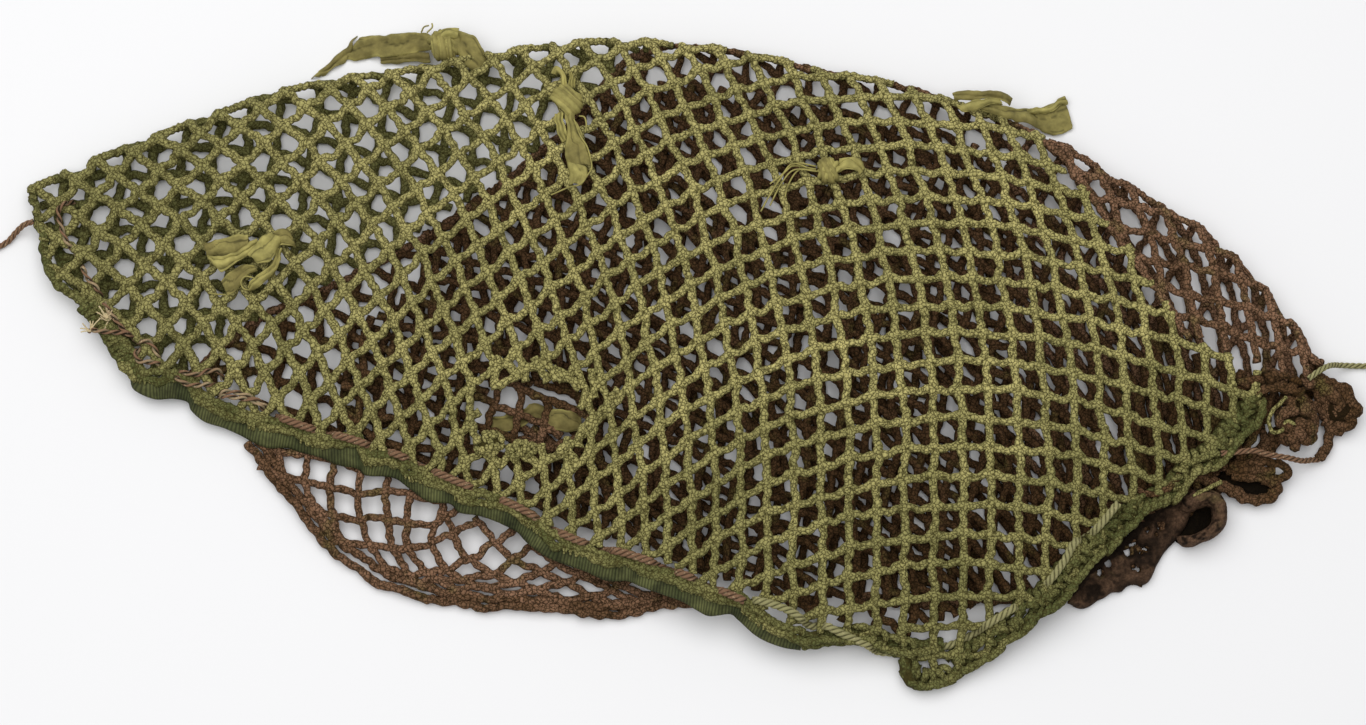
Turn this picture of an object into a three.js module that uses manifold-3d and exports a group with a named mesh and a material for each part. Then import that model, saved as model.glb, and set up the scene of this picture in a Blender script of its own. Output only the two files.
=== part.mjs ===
// A helmet net of green and brown cord netting, folded once and lying on a table.
// Millimetres, +Z up. The origin is on the table under the middle of the net.
// A place on the netting is given by two mesh counts: across, along the strands that
// rise to the right, and down, along the strands that fall to the front.
import * as THREE from 'three';
import { mergeVertices } from 'three/addons/utils/BufferGeometryUtils.js';
import Module from 'manifold-3d';

const wasm = await Module();
wasm.setup();

// Netting
const MESH = 10; // side of one mesh
const CUT = 2; // meshes along the side of one cut gap
const BAR = 7; // netting left between two gaps
const SHEET = 3; // thickness of the netting
const STRETCH = 1.02; // the net lies a little longer from front to back
const CORNER = { x: -238, y: 60 }; // left corner of the folded net, at mesh 0, 0
const MIDDLE = { x: -0.41, y: -1.43 }; // middle of the net in the places given below
const SEAM_SHIFT = { across: 0.09, down: -0.09 }; // parts the brown half from the green one

// Fold along the back edge
const FOLD_SLANT = 0.85; // sine of the angle between the down strands and the fold
const FOLD_EASE = 40; // the humps start this far from the fold
const FACET = 40; // degrees of bend between two edges of a solid

// Trim
const TAPE_WIDTH = { across: 0.53, down: -0.35 }; // from the tape's outer edge to its inner one
const TAPE_SHARE = 0.94; // share of that width that the tape fills
const DRAWSTRING = 3; // diameter of the threaded cords
const CORD_END = 2.4; // diameter of the free cord ends
const CORD_SIDES = 8;
const TEAR = { x: -58, y: -24, across: 19, along: 14, low: 6, high: 40 };

// Heading of the across strands, in degrees, by the count of meshes along them
const ACROSS = [
  { mesh: -6, heading: 50 },
  { mesh: 0, heading: 50 },
  { mesh: 3, heading: 45 },
  { mesh: 8, heading: 41 },
  { mesh: 14, heading: 37 },
  { mesh: 16.5, heading: 33 },
  { mesh: 19, heading: 22 },
  { mesh: 24, heading: 6 },
  { mesh: 29, heading: -8 },
  { mesh: 32, heading: -15 },
  { mesh: 44, heading: -16 },
];

// Heading of the down strands on the upper layer
const DOWN = [
  { mesh: -4, heading: -28 },
  { mesh: 0, heading: -31 },
  { mesh: 4, heading: -36 },
  { mesh: 8, heading: -51 },
  { mesh: 12, heading: -63 },
  { mesh: 20, heading: -79 },
  { mesh: 28, heading: -91 },
  { mesh: 44, heading: -88 },
];

// Heading of the same strands on the lower layer, walked away from the fold
const UNDER = [
  { mesh: -20, heading: -91 },
  { mesh: 0, heading: -97 },
  { mesh: 8, heading: -99 },
  { mesh: 14, heading: -110 },
  { mesh: 22, heading: -136 },
  { mesh: 30, heading: -140 },
];

// Back edge of the folded net as seen from above, and the radius of the fold there
const BACK_EDGE = [
  { across: -6, down: -3, radius: 2.5 },
  { across: 0, down: 0, radius: 2.5 },
  { across: 8, down: 3.9, radius: 6 },
  { across: 12, down: 6.5, radius: 6 },
  { across: 20, down: 10.7, radius: 6 },
  { across: 24, down: 12.7, radius: 6 },
  { across: 32, down: 15, radius: 6 },
  { across: 36, down: 17.1, radius: 5.5 },
  { across: 39.8, down: 21, radius: 4 },
  { across: 44, down: 26, radius: 4 },
];

// Soft humps and hollows: place, half lengths, turn in degrees and rise
const UPPER_HUMPS = [
  { x: 75, y: -5, long: 120, wide: 70, turn: -20, rise: 9 },
  { x: -160, y: 42, long: 70, wide: 40, turn: 20, rise: 4 },
  { x: -38, y: 8, long: 80, wide: 9, turn: -80, rise: -3 },
  { x: -20, y: 2, long: 80, wide: 14, turn: -80, rise: 4 },
  { x: 84, y: -116, long: 50, wide: 24, turn: 0, rise: -11 },
  { x: 165, y: -62, long: 70, wide: 22, turn: 40, rise: -6 },
];
const LOWER_HUMPS = [
  { x: -88, y: -62, long: 65, wide: 19, turn: -17, rise: 5 },
];

// Edges of the cut net, as mesh counts across and down
const LEFT_HEM = [
  [0, -0.2], [-1.2, 1.3], [-2.4, 2.9], [-2.5, 4.5], [-2.8, 6.2], [-3.4, 7.5],
];
const TAPED_HEM = [
  [-2.6, 8.4], [-0.8, 12], [0.5, 13.6], [3.1, 16.5], [5.5, 19.5], [7.8, 22],
  [11.2, 25.5], [14.8, 28.4], [17.2, 30.6], [19.4, 32.4], [20.6, 33.1],
];
const CORNER_HEM = [
  [22.8, 33.5], [24.2, 34.2], [24.4, 35.1], [25.1, 35.4], [27.2, 34.4], [28.9, 32.8],
];
const RIGHT_HEM = [
  [30.3, 31], [32.5, 28.3], [33.9, 27.2], [36.2, 25.4], [37.2, 23.8], [38.5, 22.5],
];
const SEAM_ABOVE = [[34.6, 21.7], [32.7, 18.2], [31.2, 14.9]];
const SEAM_ON_FOLD = [30, 28, 26, 24, 22, 20];
const SEAM_BELOW = [[18.8, 9.1], [15.7, 3.4], [11, -2], [5.6, -7.6]];
const LOWER_LEFT_HEM = [[4.1, -6.2], [2.1, -4.2], [0.6, -1.6]];
const LOBE_HEM = [
  [8, -9.4], [9.5, -11.1], [12.2, -12.8], [15.3, -12.6], [17, -12.2], [19.6, -11], [22.4, -8.7],
];
const HIDDEN_HEM = [[27.7, -5.2], [31, -3.1], [35.3, 1.7]];
const GATHERED_HEM = [[37.2, 5.9], [38.7, 12.2], [39.7, 15.6], [40.1, 18.5], [39.8, 20.8]];

// Rolled and bunched stretches of the brown hem: centre line and half sizes of the section
const HEM_ROLL = [
  { x: 137, y: -90, z: 4.5, wide: 4, tall: 4.5 },
  { x: 152, y: -78, z: 5, wide: 5, tall: 5 },
  { x: 163, y: -73, z: 5, wide: 5, tall: 5 },
  { x: 170, y: -62, z: 5, wide: 4.5, tall: 5 },
  { x: 176, y: -54, z: 5.5, wide: 4.5, tall: 5.5 },
  { x: 183, y: -52, z: 5.5, wide: 3.5, tall: 5.5 },
  { x: 187, y: -57, z: 5.5, wide: 3, tall: 5.5 },
  { x: 183, y: -64, z: 5.5, wide: 3, tall: 5.5 },
  { x: 177.5, y: -66, z: 5, wide: 2.5, tall: 5 },
];
const HEM_RUFFLE = [
  { x: 188, y: -47, z: 3.5, wide: 3, tall: 3.5 },
  { x: 198, y: -50, z: 4.5, wide: 4, tall: 4.5 },
  { x: 207, y: -47, z: 4.5, wide: 4, tall: 4.5 },
  { x: 209, y: -42, z: 5, wide: 3.5, tall: 5 },
  { x: 202, y: -39, z: 5, wide: 3.5, tall: 5 },
];
const HEM_BUNCH = [
  { x: 213, y: -17, z: 5, wide: 5, tall: 5 },
  { x: 216, y: -23, z: 6, wide: 7, tall: 6 },
  { x: 217, y: -30, z: 5, wide: 5, tall: 5 },
];
const HEM_KNOB = [
  { x: 221, y: -8, z: 4, wide: 4, tall: 4 },
  { x: 229, y: -14, z: 6, wide: 6.5, tall: 6 },
  { x: 233, y: -20, z: 5.5, wide: 5.5, tall: 5.5 },
  { x: 230, y: -26, z: 4, wide: 3.5, tall: 4 },
];

// Cloth strips: centre line, half width and half thickness. A row with a lift lies that far
// over the netting, and a row with z lies beside it.
const SCRIM_STRIPS = [
  [
    { x: -137, y: 106, z: 1.2, wide: 2.5, thick: 1 },
    { x: -123, y: 116, z: 1.2, wide: 4.5, thick: 1 },
    { x: -110, y: 115, z: 2, wide: 4.5, thick: 1 },
    { x: -97, y: 113.5, z: 4.5, wide: 4.5, thick: 1 },
    { x: -89, y: 113.6, z: 7, wide: 5.5, thick: 3.5 },
    { x: -80, y: 114.6, z: 8, wide: 4.5, thick: 3 },
    { x: -73, y: 115.5, z: 5, wide: 3, thick: 1 },
  ],
  [
    { x: -47, y: 96, lift: 0, wide: 4, thick: 1 },
    { x: -45, y: 88, lift: 0, wide: 4.5, thick: 3 },
    { x: -43, y: 80, lift: 0, wide: 3.5, thick: 1 },
    { x: -40, y: 70, lift: 0, wide: 3.5, thick: 1 },
    { x: -37, y: 60, lift: 0, wide: 4, thick: 1 },
  ],
  [
    { x: 24, y: 50, lift: 0, wide: 2, thick: 1 },
    { x: 37, y: 61, lift: 0, wide: 3, thick: 1 },
    { x: 43, y: 64, lift: 0, wide: 4, thick: 3 },
    { x: 51, y: 65, lift: 0, wide: 4, thick: 3 },
    { x: 61, y: 64, lift: 0, wide: 3, thick: 1 },
  ],
  [
    { x: 90, y: 100, z: 9, wide: 3, thick: 1 },
    { x: 98, y: 96.3, z: 9, wide: 3.5, thick: 1.5 },
    { x: 104, y: 93.4, z: 8, wide: 4, thick: 3 },
    { x: 111, y: 91.3, z: 6, wide: 4, thick: 1.5 },
    { x: 122, y: 90, z: 3, wide: 4.5, thick: 1 },
    { x: 135, y: 90, z: 1.2, wide: 5.5, thick: 1 },
  ],
  [
    { x: -174, y: 36, lift: 0, wide: 3.5, thick: 1 },
    { x: -166, y: 34, lift: 0, wide: 4.5, thick: 1.5 },
    { x: -158, y: 34, lift: 0, wide: 4, thick: 3 },
    { x: -150, y: 37, lift: 0, wide: 4, thick: 1.5 },
    { x: -142, y: 40, lift: 0, wide: 3.5, thick: 1 },
  ],
  [
    { x: -68, y: -24, z: 5.2, wide: 3.5, thick: 1.5 },
    { x: -59, y: -19, z: 5.2, wide: 4.5, thick: 1.5 },
    { x: -48, y: -24, z: 5.2, wide: 4, thick: 1.5 },
  ],
];

// Routes of the drawstrings along the front hem
const DRAWSTRING_BROWN = [
  [-209, 7], [-195, -3], [-177, -9], [-160, -18], [-141, -27], [-121, -33], [-104, -39],
  [-85, -48], [-62, -58], [-43, -69], [-22, -75], [-4, -82], [17, -91],
];
const DRAWSTRING_GREEN = [
  [25, -93], [39, -98], [55, -103], [75, -107], [92, -105], [109, -92], [128, -74], [145, -60],
];
const CORD_END_LEFT = [
  [-238.3, 52, 6.5], [-242, 50.3, 5.2], [-247, 47.5, 2.8], [-253, 44, 1.5], [-260, 40, 1.3],
  [-268, 35.5, 1.3], [-276, 32, 1.3],
];
const CORD_END_RIGHT = [
  [216.5, -11.5, 13], [219.5, -8.3, 12.8], [223, -5.5, 11.9], [226, -3.6, 8.5], [229.5, -2.6, 4],
  [234, -2.3, 1.7], [240, -2.3, 1.3], [249, -1.8, 1.3], [258, -0.5, 1.3],
];
const DRAWSTRING_LOOP = [
  [196.6, -35.8, 11.8], [200, -36.5, 12], [204, -37.3, 11.8], [209, -38.3, 11.2], [214, -38.9, 8],
  [218, -39, 4.2], [221.5, -38, 1.6], [224.3, -34.5, 1.3], [225.6, -30, 1.5], [225.7, -27.5, 2.2],
];

const radians = THREE.MathUtils.degToRad;

// Path of a strand whose heading turns evenly from row to row: a chain of arcs
function strandPath(table) {
  const travel = (row, next, mesh) => {
    const turn = radians(next.heading - row.heading) / (next.mesh - row.mesh);
    const from = radians(row.heading);
    const to = from + turn * (mesh - row.mesh);
    if (turn === 0) {
      return new THREE.Vector2(Math.cos(from), Math.sin(from)).multiplyScalar(mesh - row.mesh);
    }
    return new THREE.Vector2(Math.sin(to) - Math.sin(from), Math.cos(from) - Math.cos(to)).divideScalar(turn);
  };
  const starts = [new THREE.Vector2()];
  for (let i = 1; i < table.length; i += 1) {
    starts.push(starts[i - 1].clone().add(travel(table[i - 1], table[i], table[i].mesh)));
  }
  const walk = (mesh) => {
    let i = 0;
    while (i < table.length - 2 && table[i + 1].mesh < mesh) i += 1;
    return starts[i].clone().add(travel(table[i], table[i + 1], mesh));
  };
  const start = walk(0);
  return (mesh) => walk(mesh).sub(start);
}

const acrossPath = strandPath(ACROSS);
const downPath = strandPath(DOWN);
const underPath = strandPath(UNDER);

// Place of the back edge and radius of the fold at an across count
function backEdge(across) {
  let i = 1;
  while (i < BACK_EDGE.length - 1 && BACK_EDGE[i].across < across) i += 1;
  const [row, next] = [BACK_EDGE[i - 1], BACK_EDGE[i]];
  const between = (column) => (
    THREE.MathUtils.mapLinear(across, row.across, next.across, row[column], next[column]));
  return { down: between('down'), radius: between('radius') };
}

function onTable(meshes) {
  return new THREE.Vector2(CORNER.x + MESH * meshes.x, CORNER.y + MESH * STRETCH * meshes.y);
}

function upperPlan(across, down) {
  return onTable(acrossPath(across).add(downPath(down)));
}

function lowerPlan(across, down) {
  const edge = backEdge(across).down;
  return onTable(acrossPath(across).add(downPath(edge)).add(underPath(edge)).sub(underPath(down)));
}

function humpHeight(humps, place) {
  return humps.reduce((height, hump) => {
    const from = new THREE.Vector2(place.x - hump.x, place.y - hump.y);
    from.rotateAround(new THREE.Vector2(), -radians(hump.turn));
    return height + hump.rise * Math.exp(-((from.x / hump.long) ** 2) - (from.y / hump.wide) ** 2);
  }, 0);
}

// The fold takes up more netting than it covers: this share of its radius on each side of its crest
const FOLD_SLACK = Math.PI / 2 - 1;

// Place of a mesh count on the middle of the sheet, on the upper layer, the fold or the lower layer
function netPoint(across, down) {
  const edge = backEdge(across);
  const quarter = edge.radius * Math.PI / 2;
  const slack = edge.radius * FOLD_SLACK;
  const fromCrest = (down - edge.down) * MESH * FOLD_SLANT + slack;
  const layer = Math.sign(fromCrest) || 1;
  const run = Math.abs(fromCrest);
  const bend = Math.min(run / edge.radius, Math.PI / 2);
  const inward = run < quarter ? edge.radius * (1 - Math.cos(bend)) : run - slack;
  const reach = inward / (MESH * FOLD_SLANT);
  const place = layer > 0 ? upperPlan(across, edge.down + reach) : lowerPlan(across, edge.down - reach);
  const ease = THREE.MathUtils.smoothstep(run, quarter, quarter + FOLD_EASE);
  const hump = ease * humpHeight(layer > 0 ? UPPER_HUMPS : LOWER_HUMPS, place);
  const height = SHEET / 2 + edge.radius * (1 + layer * Math.sin(bend)) + hump;
  return new THREE.Vector3(place.x, place.y, height);
}

// Count down at which the crest of the fold crosses an across count
function foldCrest(across) {
  const edge = backEdge(across);
  return edge.down - edge.radius * FOLD_SLACK / (MESH * FOLD_SLANT);
}

// Direction out of the folded net: up on the upper layer, down on the lower one
function netNormal(across, down) {
  const step = 0.01;
  const alongAcross = netPoint(across + step, down).sub(netPoint(across - step, down));
  const alongDown = netPoint(across, down + step).sub(netPoint(across, down - step));
  return alongDown.cross(alongAcross).normalize();
}

// Mesh counts of a place on the upper layer, by Newton's steps
function meshesAt(x, y) {
  const step = 0.01;
  const guess = new THREE.Vector2(18, 18);
  for (let i = 0; i < 12; i += 1) {
    const place = upperPlan(guess.x, guess.y);
    const u = upperPlan(guess.x + step, guess.y).sub(place).divideScalar(step);
    const v = upperPlan(guess.x, guess.y + step).sub(place).divideScalar(step);
    const miss = new THREE.Vector2(x, y).sub(place);
    const turn = u.cross(v);
    guess.x += miss.cross(v) / turn;
    guess.y += u.cross(miss) / turn;
  }
  return guess;
}

function netTop(x, y) {
  const meshes = meshesAt(x, y);
  return netPoint(meshes.x, meshes.y).z + SHEET / 2;
}

// Part of a polygon inside a square cell with its lowest corner at x, y
function clipToCell(polygon, x, y) {
  const sides = [
    { axis: 'x', limit: x, keep: 1 },
    { axis: 'x', limit: x + CUT, keep: -1 },
    { axis: 'y', limit: y, keep: 1 },
    { axis: 'y', limit: y + CUT, keep: -1 },
  ];
  return sides.reduce((points, side) => {
    const depth = (p) => side.keep * (p[side.axis] - side.limit);
    return points.flatMap((p, i) => {
      const q = points[(i + 1) % points.length];
      const kept = depth(p) >= 0 ? [p] : [];
      if (depth(p) * depth(q) < 0) {
        const crossing = p.clone().lerp(q, depth(p) / (depth(p) - depth(q)));
        crossing[side.axis] = side.limit;
        kept.push(crossing);
      }
      return kept;
    });
  }, polygon);
}

// Polygon with its edges split where the netting bends
function splitAtBends(polygon) {
  return polygon.flatMap((p, i) => {
    const q = polygon[(i + 1) % polygon.length];
    const middle = p.clone().lerp(q, 0.5);
    const normals = [p, middle, q].map((point) => netNormal(point.x, point.y));
    const bend = normals[0].angleTo(normals[1]) + normals[1].angleTo(normals[2]);
    const pieces = Math.max(1, Math.ceil(bend / radians(FACET)));
    return Array.from({ length: pieces }, (_, k) => p.clone().lerp(q, k / pieces));
  });
}

function isConvex(polygon) {
  return polygon.every((p, i) => {
    const q = polygon[(i + 1) % polygon.length];
    const r = polygon[(i + 2) % polygon.length];
    return q.clone().sub(p).cross(r.clone().sub(q)) > -1e-9;
  });
}

function middleOf(polygon) {
  return polygon.reduce((sum, p) => sum.add(p), new THREE.Vector2()).divideScalar(polygon.length);
}

// Flat triangles of one cell: a ring about its gap, or a fan where it is left uncut
function cellFaces(cell, gapShare) {
  const rim = splitAtBends(cell);
  const middle = middleOf(cell);
  const gap = rim.map((p) => middle.clone().lerp(p, gapShare));
  return rim.flatMap((p, i) => {
    const k = (i + 1) % rim.length;
    if (gapShare === 0) return [[p, rim[k], middle]];
    return [[p, rim[k], gap[k]], [p, gap[k], gap[i]]];
  });
}

// Flat triangles of a stretch of netting inside an outline of mesh counts
const WHOLE_GAP = 1 - BAR / (CUT * MESH);
const HEM_GAP = 0.5; // share of a hem cell's size that its gap takes
const HEM_CELL = 0.7; // share of a whole cell that a hem cell needs for a gap
const CELL_AREA = CUT * CUT;
const SLIVER = 1e-3;

function netFaces(outline, isCut) {
  const region = outline.map(([across, down]) => new THREE.Vector2(across, down));
  if (THREE.ShapeUtils.area(region) < 0) region.reverse();
  const bounds = new THREE.Box2().setFromPoints(region);
  const faces = [];
  for (let x = CUT * Math.floor(bounds.min.x / CUT); x < bounds.max.x; x += CUT) {
    for (let y = CUT * Math.floor(bounds.min.y / CUT); y < bounds.max.y; y += CUT) {
      const cell = clipToCell(region, x, y);
      const share = cell.length < 3 ? 0 : THREE.ShapeUtils.area(cell) / CELL_AREA;
      const isWhole = share > 1 - SLIVER;
      const hasGap = isCut && share > HEM_CELL && isConvex(cell);
      const gapShare = isWhole ? WHOLE_GAP : HEM_GAP;
      if (share > SLIVER) faces.push(...cellFaces(cell, hasGap ? gapShare : 0));
    }
  }
  return faces;
}

// Closed solid of a stretch of netting: both sides of the sheet and a wall along every open edge
function netSolid(outline, isCut) {
  const faces = netFaces(outline, isCut);
  const name = (p) => `${p.x.toFixed(4)},${p.y.toFixed(4)}`;
  const openEdges = new Map();
  for (const face of faces) {
    face.forEach((p, i) => {
      const q = face[(i + 1) % 3];
      const twin = `${name(q)} ${name(p)}`;
      if (!openEdges.delete(twin)) openEdges.set(`${name(p)} ${name(q)}`, [p, q]);
    });
  }
  const places = new Map();
  const side = (p, out) => {
    const key = `${name(p)} ${out}`;
    if (!places.has(key)) {
      const normal = netNormal(p.x, p.y);
      places.set(key, netPoint(p.x, p.y).addScaledVector(normal, out * SHEET / 2));
    }
    return places.get(key);
  };
  const triangles = faces.flatMap(([p, q, r]) => [
    side(p, 1), side(r, 1), side(q, 1), side(p, -1), side(q, -1), side(r, -1),
  ]);
  for (const [p, q] of openEdges.values()) {
    triangles.push(side(p, 1), side(q, 1), side(q, -1), side(p, 1), side(q, -1), side(p, -1));
  }
  return closedGeometry(triangles);
}

function closedGeometry(triangles) {
  const geometry = new THREE.BufferGeometry().setFromPoints(triangles);
  return mergeVertices(geometry, 1e-4);
}

// Closed solid through rounded sections set upright across a centre line
function loftedSolid(rows, sides) {
  const rings = rows.map((row, i) => {
    const before = rows[Math.max(i - 1, 0)];
    const after = rows[Math.min(i + 1, rows.length - 1)];
    const along = new THREE.Vector2(after.x - before.x, after.y - before.y).normalize();
    return Array.from({ length: sides }, (_, k) => {
      const angle = 2 * Math.PI * (k + 0.5) / sides;
      const flat = 1 / Math.cos(Math.PI / sides); // the section's flat sides touch its half sizes
      const out = row.wide * flat * Math.cos(angle);
      return new THREE.Vector3(
        row.x - along.y * out, row.y + along.x * out, row.z + row.tall * flat * Math.sin(angle));
    });
  });
  const triangles = [];
  for (let i = 0; i < rings.length - 1; i += 1) {
    for (let k = 0; k < sides; k += 1) {
      const next = (k + 1) % sides;
      const [p, q, r, s] = [rings[i][k], rings[i][next], rings[i + 1][next], rings[i + 1][k]];
      triangles.push(p, q, r, p, r, s);
    }
  }
  const [first, last] = [rings[0], rings[rings.length - 1]];
  for (let k = 1; k < sides - 1; k += 1) {
    triangles.push(first[0], first[k + 1], first[k], last[0], last[k], last[k + 1]);
  }
  return closedGeometry(triangles);
}

// Cloth strip: a flat lofted band with thicker rows at its knot
const STRIP_SIDES = 6;
const STRIP_LIFT = 0.9; // clears the netting's slope under the strip

function stripSolid(rows) {
  return loftedSolid(rows.map((row) => ({
    x: row.x,
    y: row.y,
    z: row.z ?? netTop(row.x, row.y) + row.lift + row.thick + STRIP_LIFT,
    wide: row.wide,
    tall: row.thick,
  })), STRIP_SIDES);
}

// Round cord along a route
function cordSolid(route, diameter, steps) {
  const section = new THREE.Shape();
  for (let k = 0; k < CORD_SIDES; k += 1) {
    const angle = 2 * Math.PI * k / CORD_SIDES;
    const [x, y] = [diameter / 2 * Math.cos(angle), diameter / 2 * Math.sin(angle)];
    if (k === 0) section.moveTo(x, y);
    else section.lineTo(x, y);
  }
  section.closePath();
  const extrudePath = new THREE.CatmullRomCurve3(route, false, 'centripetal');
  return new THREE.ExtrudeGeometry(section, { extrudePath, steps, bevelEnabled: false });
}

const ROUTE_STEP = 9; // spacing of the points that carry a drawstring over the netting
const ROUTE_LIFT = 0.6; // clears the netting's facets

function routeOnNet(points) {
  const route = new THREE.SplineCurve(points.map(([x, y]) => new THREE.Vector2(x, y)));
  const count = Math.round(route.getLength() / ROUTE_STEP);
  return route.getSpacedPoints(count).map((p) => (
    new THREE.Vector3(p.x, p.y, netTop(p.x, p.y) + DRAWSTRING / 2 + ROUTE_LIFT)));
}

function drawstring(points) {
  const route = routeOnNet(points);
  return cordSolid(route, DRAWSTRING, 2 * route.length);
}

function freeCord(points) {
  return cordSolid(points.map(([x, y, z]) => new THREE.Vector3(x, y, z)), CORD_END, 3 * points.length);
}

function toManifold(geometry) {
  const bare = geometry.clone();
  bare.deleteAttribute('normal');
  bare.deleteAttribute('uv');
  const merged = mergeVertices(bare, 1e-4);
  return new wasm.Manifold(new wasm.Mesh({
    numProp: 3,
    vertProperties: new Float32Array(merged.attributes.position.array),
    triVerts: new Uint32Array(merged.index.array),
  }));
}

function fromManifold(solid) {
  const mesh = solid.getMesh();
  const geometry = new THREE.BufferGeometry();
  geometry.setAttribute('position', new THREE.BufferAttribute(new Float32Array(mesh.vertProperties), 3));
  geometry.setIndex(Array.from(mesh.triVerts));
  return geometry;
}

function shifted(points, by, share) {
  return points.map(([across, down]) => [across + share * by.across, down + share * by.down]);
}

const SEAM = [
  ...SEAM_ABOVE,
  ...SEAM_ON_FOLD.map((across) => [across, foldCrest(across)]),
  ...SEAM_BELOW,
];

// Green half: the upper layer and the left end of the lower one, with its torn hole
function greenNet() {
  const outline = [
    ...LEFT_HEM, ...shifted(TAPED_HEM, TAPE_WIDTH, 1), ...CORNER_HEM, ...RIGHT_HEM, ...SEAM, ...LOWER_LEFT_HEM,
  ];
  const oval = new THREE.Shape().absellipse(TEAR.x, TEAR.y, TEAR.across, TEAR.along, 0, 2 * Math.PI);
  const hole = new THREE.ExtrudeGeometry(oval, {
    depth: TEAR.high - TEAR.low, curveSegments: 6, bevelEnabled: false,
  });
  hole.translate(0, 0, TEAR.low);
  return fromManifold(toManifold(netSolid(outline, true)).subtract(toManifold(hole)));
}

// Brown half: the lower layer, the right end of the upper one and the bunched hem
const HEM_SIDES = 8;

function brownNet() {
  const outline = [
    ...GATHERED_HEM, [39.1, 22.2], ...shifted(SEAM, SEAM_SHIFT, 1), ...LOBE_HEM, ...HIDDEN_HEM,
  ];
  const bunches = [HEM_ROLL, HEM_RUFFLE, HEM_BUNCH, HEM_KNOB].map((rows) => loftedSolid(rows, HEM_SIDES));
  return fromManifold(bunches.reduce(
    (net, bunch) => net.add(toManifold(bunch)), toManifold(netSolid(outline, true))));
}

function hemTape() {
  const inner = shifted(TAPED_HEM, TAPE_WIDTH, TAPE_SHARE);
  return netSolid([...TAPED_HEM, ...inner.reverse()], false);
}

function piece(name, geometry, color) {
  const material = new THREE.MeshStandardMaterial({ color, roughness: 0.95, metalness: 0 });
  const mesh = new THREE.Mesh(geometry, material);
  mesh.name = name;
  return mesh;
}

const GREEN = '#6f6d35';
const BROWN = '#4a3024';
const TAPE_GREEN = '#3b4327';
const CORD_BROWN = '#7a5340';
const STRIP_OLIVE = '#77733c';

const helmetNet = new THREE.Group();
helmetNet.position.set(-MIDDLE.x, -MIDDLE.y, 0);
helmetNet.add(
  piece('net_green', greenNet(), GREEN),
  piece('net_brown', brownNet(), BROWN),
  piece('hem_tape', hemTape(), TAPE_GREEN),
  piece('drawstring_brown', drawstring(DRAWSTRING_BROWN), CORD_BROWN),
  piece('drawstring_green', drawstring(DRAWSTRING_GREEN), GREEN),
  piece('cord_end_left', freeCord(CORD_END_LEFT), CORD_BROWN),
  piece('cord_end_right', freeCord(CORD_END_RIGHT), GREEN),
  piece('drawstring_loop', freeCord(DRAWSTRING_LOOP), CORD_BROWN),
  ...SCRIM_STRIPS.map((rows, i) => piece(`scrim_strip_${i + 1}`, stripSolid(rows), STRIP_OLIVE)),
);

export default helmetNet;
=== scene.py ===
# A helmet net of plaited green and brown cotton, folded once and lying on a pale table.
# Tables below are in millimetres on the table, or in mesh counts across and down the netting.
import itertools
import math
from collections import namedtuple

import bpy
import numpy as np
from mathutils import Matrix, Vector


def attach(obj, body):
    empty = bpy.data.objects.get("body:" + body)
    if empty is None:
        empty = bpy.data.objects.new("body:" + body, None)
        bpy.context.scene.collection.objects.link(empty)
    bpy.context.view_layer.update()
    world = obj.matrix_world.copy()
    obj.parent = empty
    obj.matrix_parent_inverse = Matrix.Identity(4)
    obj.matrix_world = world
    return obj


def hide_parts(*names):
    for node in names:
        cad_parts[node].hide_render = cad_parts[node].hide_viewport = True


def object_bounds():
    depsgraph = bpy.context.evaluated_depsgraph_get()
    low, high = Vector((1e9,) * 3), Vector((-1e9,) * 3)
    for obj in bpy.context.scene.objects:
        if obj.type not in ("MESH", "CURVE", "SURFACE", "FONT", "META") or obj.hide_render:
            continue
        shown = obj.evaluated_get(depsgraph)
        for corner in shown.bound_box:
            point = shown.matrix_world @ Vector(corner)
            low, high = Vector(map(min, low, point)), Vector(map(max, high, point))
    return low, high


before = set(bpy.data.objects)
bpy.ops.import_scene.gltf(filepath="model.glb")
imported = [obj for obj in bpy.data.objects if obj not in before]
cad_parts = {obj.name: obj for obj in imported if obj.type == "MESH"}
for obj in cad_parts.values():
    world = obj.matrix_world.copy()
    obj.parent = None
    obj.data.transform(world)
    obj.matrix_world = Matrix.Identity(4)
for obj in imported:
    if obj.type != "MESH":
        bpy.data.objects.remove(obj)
CAD_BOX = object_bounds()

bl_info = {
    "name": "Helmet net",
    "version": (1, 0, 0),
    "blender": (4, 5, 0),
    "location": "3D View > Sidebar > Helmet net",
    "description": "Builds a folded helmet net of plaited cotton with its hems, tape, cords and cloth strips",
    "category": "Add Mesh",
}

BODY = "root"
MILLIMETRE = 0.001
FULL_TURN = 2 * math.pi

# Netting, as the frame has it
MESH = 10.0
SHEET = 3.0
STRETCH = np.array([1.0, 1.02])
CORNER = np.array([-238.0, 60.0])
MIDDLE = np.array([-0.41, -1.43, 0.0])
FOLD_SLANT = 0.85
FOLD_EASE = 40.0
FOLD_SLACK = math.pi / 2 - 1
TAPE_WIDTH = np.array([0.53, -0.35])
SEAM_SHIFT = np.array([0.09, -0.09])

# Heading of the strands in degrees, by mesh count along them
ACROSS = (
    (-6, 50), (0, 50), (3, 45), (8, 41), (14, 37), (16.5, 33), (19, 22), (24, 6), (29, -8), (32, -15),
    (44, -16),
)
DOWN = ((-4, -28), (0, -31), (4, -36), (8, -51), (12, -63), (20, -79), (28, -91), (44, -88))
UNDER = ((-20, -91), (0, -97), (8, -99), (14, -110), (22, -136), (30, -140))

# Back edge of the folded net: count across, count down and radius of the fold
BACK_EDGE = np.array([
    (-6, -3, 2.5), (0, 0, 2.5), (8, 3.9, 6), (12, 6.5, 6), (20, 10.7, 6),
    (24, 12.7, 6), (32, 15, 6), (36, 17.1, 5.5), (39.8, 21, 4), (44, 26, 4),
])

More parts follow.
